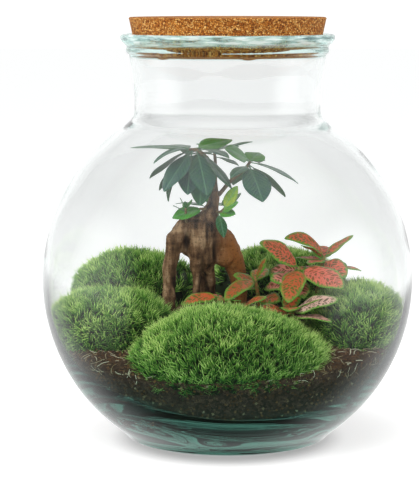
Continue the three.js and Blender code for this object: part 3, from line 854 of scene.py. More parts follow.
@dataclass(frozen=True)
class Scatter:
    """Geometry Nodes that grow one small shape all over a surface.

    Attributes:
        spacing: The least distance between two shapes.
        density: Shapes tried for each square millimetre.
        smallest: The least size, as a share of the shape's own.
        largest: The greatest size.
        upright: How far the shapes turn from the surface's own direction to straight up.
        lean: The most that a shape leans at random, in degrees.
        clump: The distance between clumps that lean together.
        swirl: How far the shapes of one clump lean together.
        seed: Picks the random values.
        alone: True if the surface itself is left out of the result.
    """

    spacing: float
    density: float
    smallest: float
    largest: float
    upright: float = 0.0
    lean: float = 20.0
    clump: float = 12.0
    swirl: float = 0.6
    seed: int = 1
    alone: bool = False

    def tree(self, finish: Material) -> NodeTree:
        """Builds the node tree.

        Args:
            finish: The material of the surface and of all that grows on it.

        Returns:
            The tree, whose inputs are named for what they set.
        """
        tree = bpy.data.node_groups.new("grow_on_surface", "GeometryNodeTree")
        kinds = {"Geometry": "Geometry", "Shape": "Object", "Seed": "Int"}
        sizes = ("Spacing", "Density", "Smallest", "Largest", "Upright", "Lean", "Clump", "Swirl")
        for name in ("Geometry", "Shape", *sizes, "Seed"):
            kind = f"NodeSocket{kinds.get(name, 'Float')}"
            tree.interface.new_socket(name, in_out="INPUT", socket_type=kind)
        tree.interface.new_socket("Geometry", in_out="OUTPUT", socket_type="NodeSocketGeometry")
        add = partial(add_node, tree)
        given = add("NodeGroupInput").outputs
        seed = given["Seed"]
        cover = add("GeometryNodeInputNamedAttribute", Name=Grain.COVER.value, data_type="FLOAT")
        spots = add(
            "GeometryNodeDistributePointsOnFaces", Mesh=given["Geometry"], Distance_Min=given["Spacing"],
            Density_Max=given["Density"], Density_Factor=cover, Seed=seed, distribute_method="POISSON",
        )
        clumps = add("TexNoise", Scale=given["Clump"], Detail=1.0)
        centred = add("VectorMath", clumps.outputs["Color"], (0.5, 0.5, 0.5), operation="SUBTRACT")
        swirled = add("VectorMath", centred, Scale=given["Swirl"], operation="SCALE")
        lifted = add("CombineXYZ", Z=given["Upright"])
        leaned = add("VectorMath", swirled, lifted, operation="ADD")
        aim = add("VectorMath", spots.outputs["Normal"], leaned, operation="ADD")
        facing = add("FunctionNodeAlignRotationToVector", Vector=aim, axis="Z")
        back = add("Math", given["Lean"], -1.0, operation="MULTIPLY")
        low = add("CombineXYZ", back, back)
        high = add("CombineXYZ", given["Lean"], given["Lean"], math.tau)
        tilt = add("FunctionNodeRandomValue", low, high, Seed=seed, data_type="FLOAT_VECTOR")
        turned = add("FunctionNodeRotateRotation", facing, tilt, rotation_space="LOCAL")
        size = add(
            "FunctionNodeRandomValue", given["Smallest"], given["Largest"], Seed=seed, data_type="FLOAT"
        )
        shape = add("GeometryNodeObjectInfo", Object=given["Shape"])
        grown = add(
            "GeometryNodeInstanceOnPoints", Points=spots, Instance=shape.outputs["Geometry"],
            Rotation=turned, Scale=size,
        )
        # A shade of 0 is kept for the surface itself
        shade = add("FunctionNodeRandomValue", 0.01, 1.0, Seed=seed, data_type="FLOAT")
        shaded = add(
            "GeometryNodeStoreNamedAttribute", Geometry=grown, Name=Grain.SHADE.value, Value=shade,
            data_type="FLOAT", domain="INSTANCE",
        )
        together = add("GeometryNodeJoinGeometry", shaded)
        if not self.alone:
            tree.links.new(given["Geometry"], together.inputs[0])
        real = add("GeometryNodeRealizeInstances", together)
        dressed = add("GeometryNodeSetMaterial", Geometry=real, Material=finish)
        add("NodeGroupOutput", dressed)
        return tree

    def grow(self, base: Object, shape: Object, finish: Material) -> None:
        """Grows the shape on the base, whose mesh becomes both.

        Args:
            base: The object whose surface is covered. Its cover attribute says where.
            shape: The small shape, which points up its own Z axis.
            finish: The material of the result.
        """
        tree = self.tree(finish)
        wanted = {
            "Shape": shape,
            "Spacing": self.spacing * MM,
            "Density": self.density / MM**2,
            "Smallest": self.smallest,
            "Largest": self.largest,
            "Upright": self.upright,
            "Lean": math.radians(self.lean),
            "Clump": per_metre(self.clump),
            "Swirl": self.swirl,
            "Seed": self.seed,
        }
        grower = base.modifiers.new("grow", "NODES")
        grower.node_group = tree
        for item in tree.interface.items_tree:
            if item.in_out == "INPUT" and item.name in wanted:
                grower[item.identifier] = wanted[item.name]
        settle(base)
        bpy.data.node_groups.remove(tree)


# Glass vessel


@dataclass
class GlassVessel:
    """The blown vessel: thick low on the left, thin at the shoulder, with soft waves.

    Attributes:
        finish: The glass.
        sides: Count of faces round it.
        outer_wave: The height of the waves outside.
        inner_wave: The height of the waves inside.
        floor_wave: The height of the waves inside the base.
        slump: How much more glass lies low on the left.
        slump_heading: The middle of that glass, in degrees about Z.
        slump_width: How far it reaches to each side, in radians.
        slump_angle: The middle of that glass, in degrees up from the bottom.
        slump_rise: How far it reaches up and down, in degrees.
        far_slump: The heading, width and share of the little that ran down on the right.
        kinks: The mould's seams at the rim, each in degrees about Z, and their height.
        kink_width: The width of a seam, in radians.
        kink_heights: The heights between which the seams show.
    """

    finish: BottleGlass = BottleGlass()
    sides: int = 208
    outer_wave: float = 0.1
    inner_wave: float = 0.2
    floor_wave: float = 0.35
    slump: float = 7.0
    slump_heading: float = 212.0
    slump_width: float = 0.65
    slump_angle: float = 36.0
    slump_rise: float = 16.0
    far_slump: Point = (-25.0, 0.7, 0.1)
    kinks: tuple[tuple[float, float], ...] = ((231, 0.5), (282, 0.45), (60, 0.5), (110, 0.45))
    kink_width: float = 0.035
    kink_heights: tuple[float, float] = (248.0, 261.5)

    def wall_at(self, from_bottom: np.ndarray) -> np.ndarray:
        """Gives the wall's thickness at angles from the bottom, in radians."""
        low = np.clip((90 - np.degrees(from_bottom)) / 50, 0, None)
        return WALL + (BASE_WALL - WALL) * low**1.6

    def slump_at(self, from_bottom: np.ndarray, azimuth: np.ndarray) -> np.ndarray:
        """Gives the extra glass that ran down, mostly on the left, while it was soft.

        Args:
            from_bottom: Angles from the bottom of the ball, in radians.
            azimuth: Directions about the axis, in radians from +X.

        Returns:
            The extra thickness, in millimetres.
        """
        heading, width, share = self.far_slump
        left = bell(apart(azimuth, self.slump_heading) / self.slump_width)
        right = bell(apart(azimuth, heading) / width)
        low = bell((np.degrees(from_bottom) - self.slump_angle) / self.slump_rise)
        return self.slump * low * (left + share * right)

    def inner_radius(self, from_bottom: np.ndarray) -> np.ndarray:
        """Gives the inside's distance from the ball's middle, its floor softly joined.

        Args:
            from_bottom: Angles from the bottom, in radians.

        Returns:
            Distances in millimetres.
        """
        side = BALL_RADIUS - self.wall_at(from_bottom)
        floor = (BALL_HEIGHT - FLOOR_HEIGHT) / np.maximum(np.cos(from_bottom), 0.05)
        sharp = 14.0
        total = np.exp((100 - side) * sharp / 100) + np.exp((100 - floor) * sharp / 100)
        return -np.log(total) * (100 / sharp) + 100

    def limit(self, from_bottom: np.ndarray, azimuth: np.ndarray, inset: float) -> np.ndarray:
        """Gives how far from the ball's middle the planting may reach.

        Args:
            from_bottom: Angles from the bottom, in radians.
            azimuth: Directions about the axis, in radians.
            inset: The gap left to the glass.

        Returns:
            Distances in millimetres.
        """
        room = self.inner_radius(from_bottom) - self.slump_at(from_bottom, azimuth)
        low = np.clip((np.radians(FLOOR_EDGE) - from_bottom) / 0.2, 0, 1)
        return room - self.inner_wave - (self.floor_wave - self.inner_wave) * low - inset

    def held_in(self, points: np.ndarray, inset: float) -> np.ndarray:
        """Draws points that lie in the glass back to its inside.

        Args:
            points: One point in a row, in millimetres.
            inset: The gap left to the glass.

        Returns:
            The points, moved towards the ball's middle where they lay too far out.
        """
        centre = np.array((0, 0, BALL_HEIGHT))
        out = points - centre
        far = np.maximum(np.linalg.norm(out, axis=1), 1e-6)
        angle = np.arccos(np.clip(-out[:, 2] / far, -1, 1))
        azimuth = np.arctan2(out[:, 1], out[:, 0])
        share = np.minimum(1.0, self.limit(angle, azimuth, inset) / far)
        return centre + out * share[:, None]

    def profile(self) -> np.ndarray:
        """Draws the wall's outline, from the foot's middle up outside and down inside.

        Returns:
            For each knot its radius, height, size of waves, and 1 where it is inside.
        """
        outer, inner = self.outer_wave, self.inner_wave
        foot = [
            (0, PUNT_DEPTH, 0),
            (18, PUNT_DEPTH, 0),
            (PUNT_RADIUS - 12, PUNT_DEPTH - 1, 0.1),
            (PUNT_RADIUS - 1, 0, 0),
            (PUNT_RADIUS + 2, 0, 0),
            (FOOT_RADIUS - 1.5, 0, 0),
            (FOOT_RADIUS + 0.8, 0.2, 0),
            (FOOT_RADIUS + 2.4, 2.2, 0.1),
        ]
        ball = []
        for degrees in np.arange(36.0, 146.0, 3.0):
            angle = math.radians(degrees)
            ball.append((BALL_RADIUS * math.sin(angle), BALL_HEIGHT - BALL_RADIUS * math.cos(angle), outer))
        neck = [
            (NECK_RADIUS + 0.2, 207.5, outer),
            (NECK_RADIUS, 219, outer),
            (NECK_RADIUS + 0.4, 228, outer),
            (NECK_RADIUS + 1.7, 238, outer),
            (NECK_RADIUS + 3.1, 246, 0.2),
            (NECK_RADIUS + 3.7, 248.6, 0.3),
            (RING_RADIUS - 0.2, 249.5, 0.3),
            (RING_RADIUS + 0.2, 251, 0.3),
            (RING_RADIUS - 0.1, 252.6, 0.3),
            (RING_RADIUS - 0.6, 253.6, 0.3),
            (RIM_RADIUS - 2, 255.6, 0.35),
            (RIM_RADIUS - 0.2, 257.8, 0.4),
            (RIM_RADIUS + 0.2, 259.4, 0.4),
            (RIM_RADIUS - 0.3, 261, 0.3),
            (RIM_RADIUS - 2, RIM_HEIGHT, 0.1),
            (RIM_RADIUS - 4.2, RIM_HEIGHT - 0.2, 0.1),
            (RIM_RADIUS - 6.4, 260, 0.1),
            (RIM_RADIUS - 7.8, 257.6, 0.1),
            (NECK_RADIUS - 0.1, 249, 0.15),
            (NECK_RADIUS - 1.6, 240, inner),
            (NECK_RADIUS - WALL, 229, inner),
            (NECK_RADIUS - WALL, 217, inner),
            (NECK_RADIUS - WALL + 0.5, 205.4, inner),
        ]
        inside = []
        for degrees in np.arange(146.0, 3.0, -3.0):
            angle = np.radians(degrees)
            radius = float(self.inner_radius(angle))
            low = min(1.0, max(0.0, (FLOOR_EDGE - degrees) / 10))
            wave = inner + (self.floor_wave - inner) * low
            inside.append((radius * math.sin(angle), BALL_HEIGHT - radius * math.cos(angle), wave))
        inside.append((0, FLOOR_HEIGHT, 0))
        knots = [(*knot, 0) for knot in (*foot, *ball, *neck)] + [(*knot, 1) for knot in inside]
        return np.array(knots, float)

    def build(self) -> None:
        """Turns the outline about the axis and sets its waves."""
        line = rounded_profile(self.profile(), 3)
        tangent = np.gradient(line[:, :2], axis=0)
        along = np.cumsum(np.linalg.norm(tangent, axis=1))
        tangent /= np.maximum(np.linalg.norm(tangent, axis=1, keepdims=True), 1e-9)
        outward = np.column_stack((tangent[:, 1], -tangent[:, 0]))
        turn = directions(self.sides)
        lowest, highest = self.kink_heights
        rows = []
        for (radius, height, wave, inside), normal, place in zip(line[1:-1], outward[1:-1], along[1:-1]):
            push = wave * ripple(turn, place, 7 if inside > 0.5 else 3)
            if inside > 0.5:
                angle = math.atan2(radius, BALL_HEIGHT - height)
                push = push + self.slump_at(np.full_like(turn, angle), turn)
            elif lowest < height < highest and wave > 0.25:
                # The mould's halves met here, on the outside of the ring and rim
                push = push + sum(rise * bell(apart(turn, at) / self.kink_width) for at, rise in self.kinks)
            rows.append(ring(radius + normal[0] * push, turn, height + normal[1] * push))
        sketch = Sketch("vessel_glass")
        points = np.vstack([*rows, [(0, 0, line[0, 1])], [(0, 0, line[-1, 1])]])
        sketch.add(points, closed_rings(len(rows), self.sides))
        as_piece(sketch.finished([self.finish.material()]), "glass", "glass_vessel")


# Cork lid


@dataclass
class CorkLid:
    """The tapered disc of pressed cork that rests in the mouth, pitted with fine pores."""

    finish: GranulatedCork = GranulatedCork()
    foot_height: float = 250.7
    thickness: float = 21.6
    foot_radius: float = 58.9
    top_radius: float = 63.5
    edge: float = 0.8
    sides: int = 180
    pits: float = 0.22
    pit_size: float = 1.9

    def build(self) -> None:
        """Turns the disc, with its edges eased and its faces slightly pitted."""
        low, high = self.foot_height, self.foot_height + self.thickness
        foot, top = self.foot_radius, self.top_radius
        across = np.linspace(0, 1, 22)[1:-1]
        line = [(share * (foot - self.edge), low) for share in across]
        line += [(foot - self.edge, low), (foot, low + self.edge)]
        for share in np.linspace(0.06, 0.94, 14):
            line.append((foot + (top - foot) * share, low + self.thickness * share))
        line += [(top, high - self.edge), (top - self.edge, high)]
        line += [(share * (top - self.edge), high) for share in across[::-1]]
        turn = directions(self.sides)
        points = np.vstack([ring(radius, turn, height) for radius, height in line])
        dents = np.abs(lumps(points, self.pit_size)) * self.pits
        points = drawn_in(points, (0, 0, low + self.thickness / 2), dents)
        points = np.vstack((points, [(0, 0, low)], [(0, 0, high)]))
        sketch = Sketch("lid_cork")
        sketch.add(points, closed_rings(len(line), self.sides))
        piece = sketch.finished([self.finish.material()])
        piece.data.set_sharp_from_angle(angle=math.radians(50))
        as_piece(piece, "cork", "cork_lid")


# Soil and moss


def soil_height(x: np.ndarray, y: np.ndarray) -> np.ndarray:
    """Gives the soil's height.

    Args:
        x: Places to the right.
        y: Places to the back.

    Returns:
        The height at each place.
    """
    mound = MOUND_HEIGHT * np.exp(-(x**2 + (y - MOUND_CENTRE_Y) ** 2) / MOUND_SPREAD**2)
    away = np.clip((np.hypot(x, y) - BANK_START) / BANK_RUN, 0, 1)
    near = bell((x - BANK_MIDDLE[0]) / BANK_REACH[0], (y - BANK_MIDDLE[1]) / BANK_REACH[1])
    bank = BANK_HEIGHT * away**1.5 * near
    return SOIL_LEVEL + SOIL_RISE_BACK * y + SOIL_RISE_RIGHT * x + mound + bank


@dataclass
class SoilBed:
    """Potting soil that fills the bottom of the vessel, with crumbs and dry fibres.

    Attributes:
        vessel: The vessel that holds it.
        finish: The soil.
        fibre: The dry strands on it.
        sides: Count of faces round it.
        top_rings: Count of rings of faces on top.
        wall_rings: Count of rings of faces along the glass.
        hump: The height of its humps.
        hump_size: The distance between humps.
        crumb_rise: The height of small lumps on top.
        crumb_size: The distance between them.
        pocket_depth: How deep the hollows between crumbs are along the glass.
        pocket_size: The distance between them.
    """

    vessel: GlassVessel
    finish: PottingSoil = PottingSoil()
    fibre: DryStraw = DryStraw()
    sides: int = 200
    top_rings: int = 44
    wall_rings: int = 46
    hump: float = 1.4
    hump_size: float = 9.0
    crumb_rise: float = 0.9
    crumb_size: float = 2.6
    pocket_depth: float = 1.6
    pocket_size: float = 3.4

    def surface(self) -> tuple[np.ndarray, Faces]:
        """Draws the soil's closed surface from its top middle round to its underside.

        Returns:
            The points and the faces.
        """
        turn = directions(self.sides)
        reach = np.full_like(turn, 100.0)
        # Each pass brings the edge of the soil nearer to where it meets the glass
        for _ in range(12):
            flat = ring(reach, turn, 0.0)
            up = soil_height(*flat.T[:2]) + self.hump * lumps(flat, self.hump_size)
            drop = BALL_HEIGHT - up
            room = self.vessel.limit(np.arctan2(reach, drop), turn, CLEARANCE)
            reach = np.sqrt(np.maximum(room**2 - drop**2, 1.0))
        edge = np.arctan2(reach, drop)
        rows = []
        for step in range(1, self.top_rings + 1):
            flat = ring(reach * step / self.top_rings, turn, 0.0)
            up = soil_height(*flat.T[:2]) + self.hump * lumps(flat, self.hump_size)
            up = up + self.crumb_rise * lumps(flat, self.crumb_size, 5.0)
            rows.append(np.column_stack((flat[:, :2], up)))
        for step in range(1, self.wall_rings):
            angle = edge * (1 - step / self.wall_rings)
            room = self.vessel.limit(angle, turn, CLEARANCE)
            wall = ring(room * np.sin(angle), turn, BALL_HEIGHT - room * np.cos(angle))
            dents = np.clip(lumps(wall, self.pocket_size, 9.0) + 0.35, 0, 1) * self.pocket_depth
            rows.append(drawn_in(wall, (0, 0, BALL_HEIGHT), dents))
        top = (0, 0, float(soil_height(np.array(0.0), np.array(0.0))))
        under = (0, 0, FLOOR_HEIGHT + self.vessel.floor_wave + CLEARANCE + 0.4)
        points = self.vessel.held_in(np.vstack([*rows, [top], [under]]), CLEARANCE)
        return points, closed_rings(len(rows), self.sides)

    def crumb(self) -> Object:
        """Makes one crumb, a squashed eight-sided lump about 2 mm across.

        Returns:
            The crumb.
        """
        points = [(1, 0, 0), (0, 1, 0), (-1, 0.1, 0), (0, -0.9, 0.1), (0.1, 0, 0.7), (0, 0.1, -0.7)]
        faces = [(k, (k + 1) % 4, 4) for k in range(4)] + [((k + 1) % 4, k, 5) for k in range(4)]
        sketch = Sketch("crumb")
        sketch.add(np.array(points), faces)
        return sketch.finished([])

    def strand(self) -> Object:
        """Makes one dry strand, a bent fibre about 10 mm long.

        Returns:
            The strand.
        """
        sketch = Sketch("strand")
        knots = [(-4.5, -0.5, 0.2, 0.24), (-1, 0.3, 0.9, 0.34), (2, 0.4, 0.8, 0.3), (5, -0.6, 0.5, 0.18)]
        sketch.add_tube(knots, 4, 2)
        return sketch.finished([])

    def build(self) -> None:
        """Makes the soil with its crumbs, and the dry fibres on it."""
        points, faces = self.surface()
        sketch = Sketch("soil_bed")
        sketch.add(points, faces, values={Grain.COVER: np.ones(len(points))})
        finish = self.finish.material()
        soil = sketch.finished([finish])
        crumb = self.crumb()
        Scatter(1.4, 0.2, 0.35, 1.3, lean=60, swirl=0.0, seed=5).grow(soil, crumb, finish)
        discard(crumb)
        keep_inside(soil, self.vessel, CLEARANCE)
        as_piece(soil, "soil", "soil")
        self.build_litter(points, faces)

    def build_litter(self, points: np.ndarray, faces: Faces) -> None:
        """Scatters dry strands where the moss meets the soil at the front and sides.

        Args:
            points: The soil's points.
            faces: The soil's faces.
        """
        # They lie thickest at the front right, then at the front left and under the fig
        x, y, z = points.T
        azimuth = np.degrees(np.arctan2(y, x))
        rim = np.clip((np.hypot(x, y) - 62) / 20, 0, 1) * (z > 55)
        right, left = bell((azimuth + 48) / 26), bell((azimuth + 138) / 20)
        under_fig = 0.6 * bell((x + 14) / 32, (y - 8) / 24)
        cover = np.maximum(rim * np.clip(right + 0.8 * left + 0.1, 0, 1), under_fig)
        sketch = Sketch("litter_strands")
        sketch.add(points, faces, values={Grain.COVER: cover})
        finish = self.fibre.material()
        litter = sketch.finished([finish])
        strand = self.strand()
        grow = Scatter(1.4, 0.09, 0.25, 0.8, lean=26, swirl=0.5, clump=20, seed=12, alone=True)
        grow.grow(litter, strand, finish)
        discard(strand)
        keep_inside(litter, self.vessel, CLEARANCE + 0.1)
        as_piece(litter, "moss")


def keep_inside(piece: Object, vessel: GlassVessel, inset: float) -> None:
    """Draws a piece's points back into the vessel.

    Args:
        piece: The object, whose mesh is in metres.
        vessel: The vessel that holds it.
        inset: The gap left to the glass, in millimetres.
    """
    mesh = piece.data
    flat = np.zeros(len(mesh.vertices) * 3)
    mesh.vertices.foreach_get("co", flat)
    held = vessel.held_in(flat.reshape(-1, 3) / MM, inset) * MM
    mesh.vertices.foreach_set("co", held.ravel())
    mesh.update()


@dataclass
class MossCushion:
    """One cushion of moss, an oval dome set with fine needles.

    Attributes:
        name: The piece's name.
        node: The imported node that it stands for.
        centre: Its middle on the floor plan.
        reach: Its half length along X and Y.
        top: The height of its needles' tips in the middle.
        dome: How round its top is, flatter when lower.
        lean: How much its top rises to the right.
        spacing: The least distance between two tufts of needles.
        density: Tufts tried for each square millimetre.
        seed: Picks the random values.
        thin_area: The left, right, front and back of the fig's shade.
        thin_below: The height under which the moss in that shade is thin.
        thin_cover: The share of tufts that is left there.
        rim_dip: How far its edge lies in the soil.
        skirt: How far its side goes down below the edge.
        needle_rise: How far the needles stand out of its body.
        hump: The distance between humps of its top.
        tuft: The distance between small tufts.
        rings: Count of rings of faces.
        sides: Count of faces round it.
    """

    name: str
    node: str
    centre: tuple[float, float]
    reach: tuple[float, float]
    top: float
    dome: float
    lean: float
    spacing: float
    density: float
    seed: int
    thin_area: tuple[float, float, float, float] = (-44.0, 14.0, 0.0, 54.0)
    thin_below: float = 104.0
    thin_cover: float = 0.3
    rim_dip: float = 3.0
    skirt: float = 7.0
    needle_rise: float = 4.6
    hump: float = 11.0
    tuft: float = 5.0
    rings: int = 30
    sides: int = 96

    def core(self, vessel: GlassVessel) -> Sketch:
        """Draws the cushion's body under its needles.

        Args:
            vessel: The vessel that it presses against.

        Returns:
            The drawn body.
        """
        turn = -directions(self.sides)
        shares = [math.sin(step / self.rings * math.pi / 2) for step in range(1, self.rings + 1)]
        rows = [self.ring_at(turn, share) for share in shares]
        skirt = rows[-1].copy()
        skirt[:, 2] -= self.skirt
        middle = self.ring_at(turn[:1], 0.0)[0]
        under = (middle[0], middle[1], skirt[:, 2].mean())
        points = np.vstack([*rows, skirt, [middle], [under]])
        # No needles grow on the skirt or below, and few in the shade of the fig
        cover = np.ones(len(points))
        cover[-1] = 0
        cover[len(rows) * self.sides : -2] = 0
        x, y, z = points.T
        left, right, front, back = self.thin_area
        shaded = (x > left) & (x < right) & (y > front) & (y < back) & (z < self.thin_below)
        cover[shaded] = self.thin_cover
        points = vessel.held_in(points, CLEARANCE + 0.6)
        sketch = Sketch(self.name)
        sketch.add(points, closed_rings(len(rows) + 1, self.sides), values={Grain.COVER: cover})
        return sketch

    def ring_at(self, turn: np.ndarray, share: float) -> np.ndarray:
        """Draws one ring of the dome.

        Args:
            turn: Directions, in radians.
            share: The ring's share of the reach.

        Returns:
            Its points.
        """
        x = self.centre[0] + self.reach[0] * share * np.cos(turn)
        y = self.centre[1] + self.reach[1] * share * np.sin(turn)
        rim = soil_height(x, y) - self.rim_dip
        rise = self.top - self.needle_rise - rim + self.lean * (x - self.centre[0])
        dome = max(0.0, 1 - share**2) ** self.dome
        flat = np.column_stack((x, y, np.zeros_like(x)))
        tufts = 1.9 * lumps(flat, self.hump, self.seed) + lumps(flat, self.tuft, self.seed + 3)
        return np.column_stack((x, y, rim + rise * dome + tufts * min(1.0, dome * 3)))

    def build(self, vessel: GlassVessel, sprig: Object, finish: Material) -> None:
        """Makes the cushion with its needles.

        Args:
            vessel: The vessel that it presses against.
            sprig: One tuft of needles.
            finish: The moss's material.
        """
        piece = self.core(vessel).finished([finish])
        grow = Scatter(
            self.spacing, self.density, 0.6, 1.3, upright=0.5, lean=30, clump=8.0, swirl=1.6, seed=self.seed
        )
        grow.grow(piece, sprig, finish)
        keep_inside(piece, vessel, CLEARANCE)
        as_piece(piece, "moss", self.node)


# Each cushion's place, middle, reach, top, dome, lean, spacing, density and seed
CUSHIONS = (
    ("front", (1.5, -58), (60, 48), 94, 0.75, -0.05, 1.3, 0.5, 21),
    ("left", (-77, -16), (40, 31), 99, 0.32, 0, 1.3, 0.5, 22),
    ("right", (84, -5), (31, 46), 102, 0.4, 0, 1.3, 0.5, 23),
    ("back_left", (-64, 54), (44, 40), 116, 0.36, 0, 1.4, 0.4, 24),
    ("back_right", (32, 62), (47, 42), 115, 0.36, 0, 1.4, 0.4, 25),
)


@dataclass
class MossBed:
    """The five cushions, as in the part's source.

    Attributes:
        vessel: The vessel that holds them.
        finish: The moss.
        needle_count: Count of needles in a tuft.
        needle_length: The usual length of a needle.
        needle_width: Its width at the root, three times a real one's, so that it shows.
    """

    vessel: GlassVessel
    finish: CushionMoss = CushionMoss()
    needle_count: int = 5
    needle_length: float = 7.0
    needle_width: float = 1.0

    def sprig(self) -> Object:
        """Makes one tuft of needles, each a slim three-sided spike.

        Returns:
            The tuft, with its tip attribute from 0 at the root to 1 at the point.
        """
        draw = random.Random(4)
        sketch = Sketch("sprig")
        for needle in range(self.needle_count):
            turn = needle / self.needle_count * math.tau + draw.uniform(-0.4, 0.4)
            open_angle = math.radians(draw.uniform(14, 46) if needle else 4)
            length = self.needle_length * draw.uniform(0.75, 1.2)
            out = np.array((math.cos(turn), math.sin(turn), 0))
            point = out * math.sin(open_angle) * length
            point[2] = math.cos(open_angle) * length
            corners = out * 0.5 + ring(self.needle_width / 2, turn + directions(3), 0.0)
            faces = [(0, 1, 3), (1, 2, 3), (2, 0, 3), (2, 1, 0)]
            sketch.add(np.array([*corners, point]), faces, values={Grain.TIP: np.array((0, 0, 0, 1.0))})
        return sketch.finished([])

    def build(self) -> None:
        """Makes all the cushions."""
        finish, sprig = self.finish.material(), self.sprig()
        for place, *sizes in CUSHIONS:
            MossCushion(f"moss_cushion_{place}", f"moss_{place}", *sizes).build(self.vessel, sprig, finish)
        discard(sprig)


# Leaves


@dataclass(frozen=True)
class Leaf:
    """One leaf, placed as in the part's source.

    Attributes:
        at: Where it leaves its stem, as a share of the stem.
        heading: Its direction about Z from +X, in degrees.
        rise: The lift of its chord, in degrees.
        long: Its length with its stalk.
        wide: Its width.
        tone: Its colour's place, from 0 to 1.
        droop: How far it bends down from base to tip, in degrees.
        roll: The lift of its left side, in degrees.
        stem: Which stem it grows on.
    """

    at: float
    heading: float
    rise: float
    long: float
    wide: float
    tone: float
    droop: float = 0.0
    roll: float = 0.0
    stem: int = 0


@dataclass(frozen=True)
class LeafForm:
    """The outline and bend that all leaves of one plant share.

    Attributes:
        stalk: The share of the length that is stalk.
        belly: Moves the widest place towards the base where it is under 1.
        base_round: How round the base is, rounder when lower.
        tip_round: How round the tip is.
        fold: How far the sides fold up, as a share of the half width.
        curl: How far the edges curl down, as a share of the half width.
        wave: The height of the waves along the edges of a leaf 10 mm wide.
        waves: Count of waves along a side.
        thickness: The blade's thickness in the middle.
        stations: Count of points along it.
        columns: Count of points across it.
    """

    stalk: float
    belly: float
    base_round: float
    tip_round: float
    fold: float
    curl: float
    wave: float
    waves: float
    thickness: float = 0.5
    stations: int = 22
    columns: int = 9

    def half_width(self, share: np.ndarray) -> np.ndarray:
        """Gives the outline.

        Args:
            share: Places along the leaf, as shares of its length.

        Returns:
            The half width at each place, as a share of the width.
        """
        blade = np.clip((share - self.stalk) / (1 - self.stalk), 0, 1)
        swell = np.sin(math.pi * blade**self.belly)
        peak = 0.5 ** (1 / self.belly)
        power = np.where(blade < peak, self.base_round, self.tip_round)
        return np.maximum(0.5 * np.clip(swell, 0, 1) ** power, 0.022)

    def draw(self, sketch: Sketch, root: np.ndarray, leaf: Leaf) -> None:
        """Draws one leaf as a thin closed blade.

        Args:
            sketch: The piece that it belongs to.
            root: Where its stalk starts.
            leaf: The leaf.
        """
        heading = math.radians(leaf.heading)
        level = np.array((-math.sin(heading), math.cos(heading), 0))
        even = np.linspace(0, 1, self.stations)
        # Points lie closer together near the base and the tip, where the outline is round
        shares = (1 - np.cos(np.linspace(0, math.pi, self.stations))) / 2 * 0.6 + even * 0.4
        slopes = np.radians(leaf.rise + leaf.droop * (0.5 - shares))
        flat = np.cos(slopes)
        along = np.column_stack((flat * math.cos(heading), flat * math.sin(heading), np.sin(slopes)))
        steps = (along[1:] + along[:-1]) / 2 * (np.diff(shares) * leaf.long)[:, None]
        middle = root + along[0] * STALK_SET + np.vstack(([(0, 0, 0)], np.cumsum(steps, axis=0)))
        roll = math.radians(leaf.roll)
        sides = level * math.cos(roll) + np.cross(along, level) * math.sin(roll)
        ups = np.cross(along, sides)
        reach = self.half_width(shares) * leaf.wide
        columns = np.linspace(1, -1, self.columns)
        edge = np.abs(columns)
        upper, lower, facts = [], [], []
        for share, half, centre, side, up in zip(shares, reach, middle, sides, ups):
            wave = self.wave * np.sin(share * self.waves * math.tau + leaf.tone * 9 + columns * 1.3)
            lift = half * (self.fold * edge - self.curl * edge**3) + wave * edge**2 * half / 5
            place = centre + np.outer(columns * half, side) + np.outer(lift, up)
            # Half the thickness, which tapers to the edges and is greater in the slim stalk
            body = self.thickness / 2 * (1 - 0.55 * edge**2)
            body = np.maximum(body, 0.28 if half < 0.6 else 0.1)
            upper.append(place + np.outer(body, up))
            lower.append(place - np.outer(body, up))
            margin = np.minimum(half * (1 - edge), (1 - share) * leaf.long * 0.6)
            facts.append(np.column_stack((columns * half, np.full_like(edge, share * leaf.long), margin)))
        rows, width = self.stations, self.columns
        size = rows * width
        tops = grid_faces(rows, width)
        faces = tops + [tuple(corner + size for corner in face[::-1]) for face in tops]
        rim = [*range(width - 1), *range(width - 1, size - 1, width)]
        rim += [*range(size - 1, size - width, -1), *range(size - width, 0, -width)]
        faces += [(end, start, size + start, size + end) for start, end in zip(rim, rim[1:] + rim[:1])]
        values = {
            Grain.LEAF: np.vstack([*facts, *facts]),
            Grain.TONE: np.full(2 * size, leaf.tone),
            Grain.UNDER: np.repeat((0.0, 1.0), size),
        }
        sketch.add(np.vstack([*upper, *lower]), faces, 0, values)


# How far up a stem its last leaf grows, and how far a stalk starts from the stem's middle
LAST_NODE = 0.96
STALK_SET = 0.4


@dataclass(frozen=True)
class Spray:
    """A leafy stem or twig, as in the part's source.

    Attributes:
        name: The piece's name.
        node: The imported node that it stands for.
        stems: Points of each stem's middle line, with a radius each.
        leaves: Its leaves.
    """

    name: str
    node: str
    stems: tuple[tuple[Knot, ...], ...]
    leaves: tuple[Leaf, ...]

    def build(self, form: LeafForm, skin: Material, bark: Material, slot: str) -> None:
        """Makes the stems with their leaves.

        Args:
            form: The shape of the leaves.
            skin: The leaves' material.
            bark: The stems' material.
            slot: A name handed on to as_piece.
        """
        sketch = Sketch(self.name)
        paths = []
        for knots in self.stems:
            sketch.add_tube(knots, 10, 5, finish=1)
            paths.append(smooth_path(np.asarray(knots, float), 12)[:, :3])
        for leaf in self.leaves:
            path = paths[leaf.stem]
            place = leaf.at * LAST_NODE * (len(path) - 1)
            first = min(int(place), len(path) - 2)
            root = path[first] + (path[first + 1] - path[first]) * (place - first)
            form.draw(sketch, root, leaf)
        piece = sketch.finished([skin, bark])
        piece.data.set_sharp_from_angle(angle=math.radians(75))
        as_piece(piece, slot, self.node)


# Ginseng fig


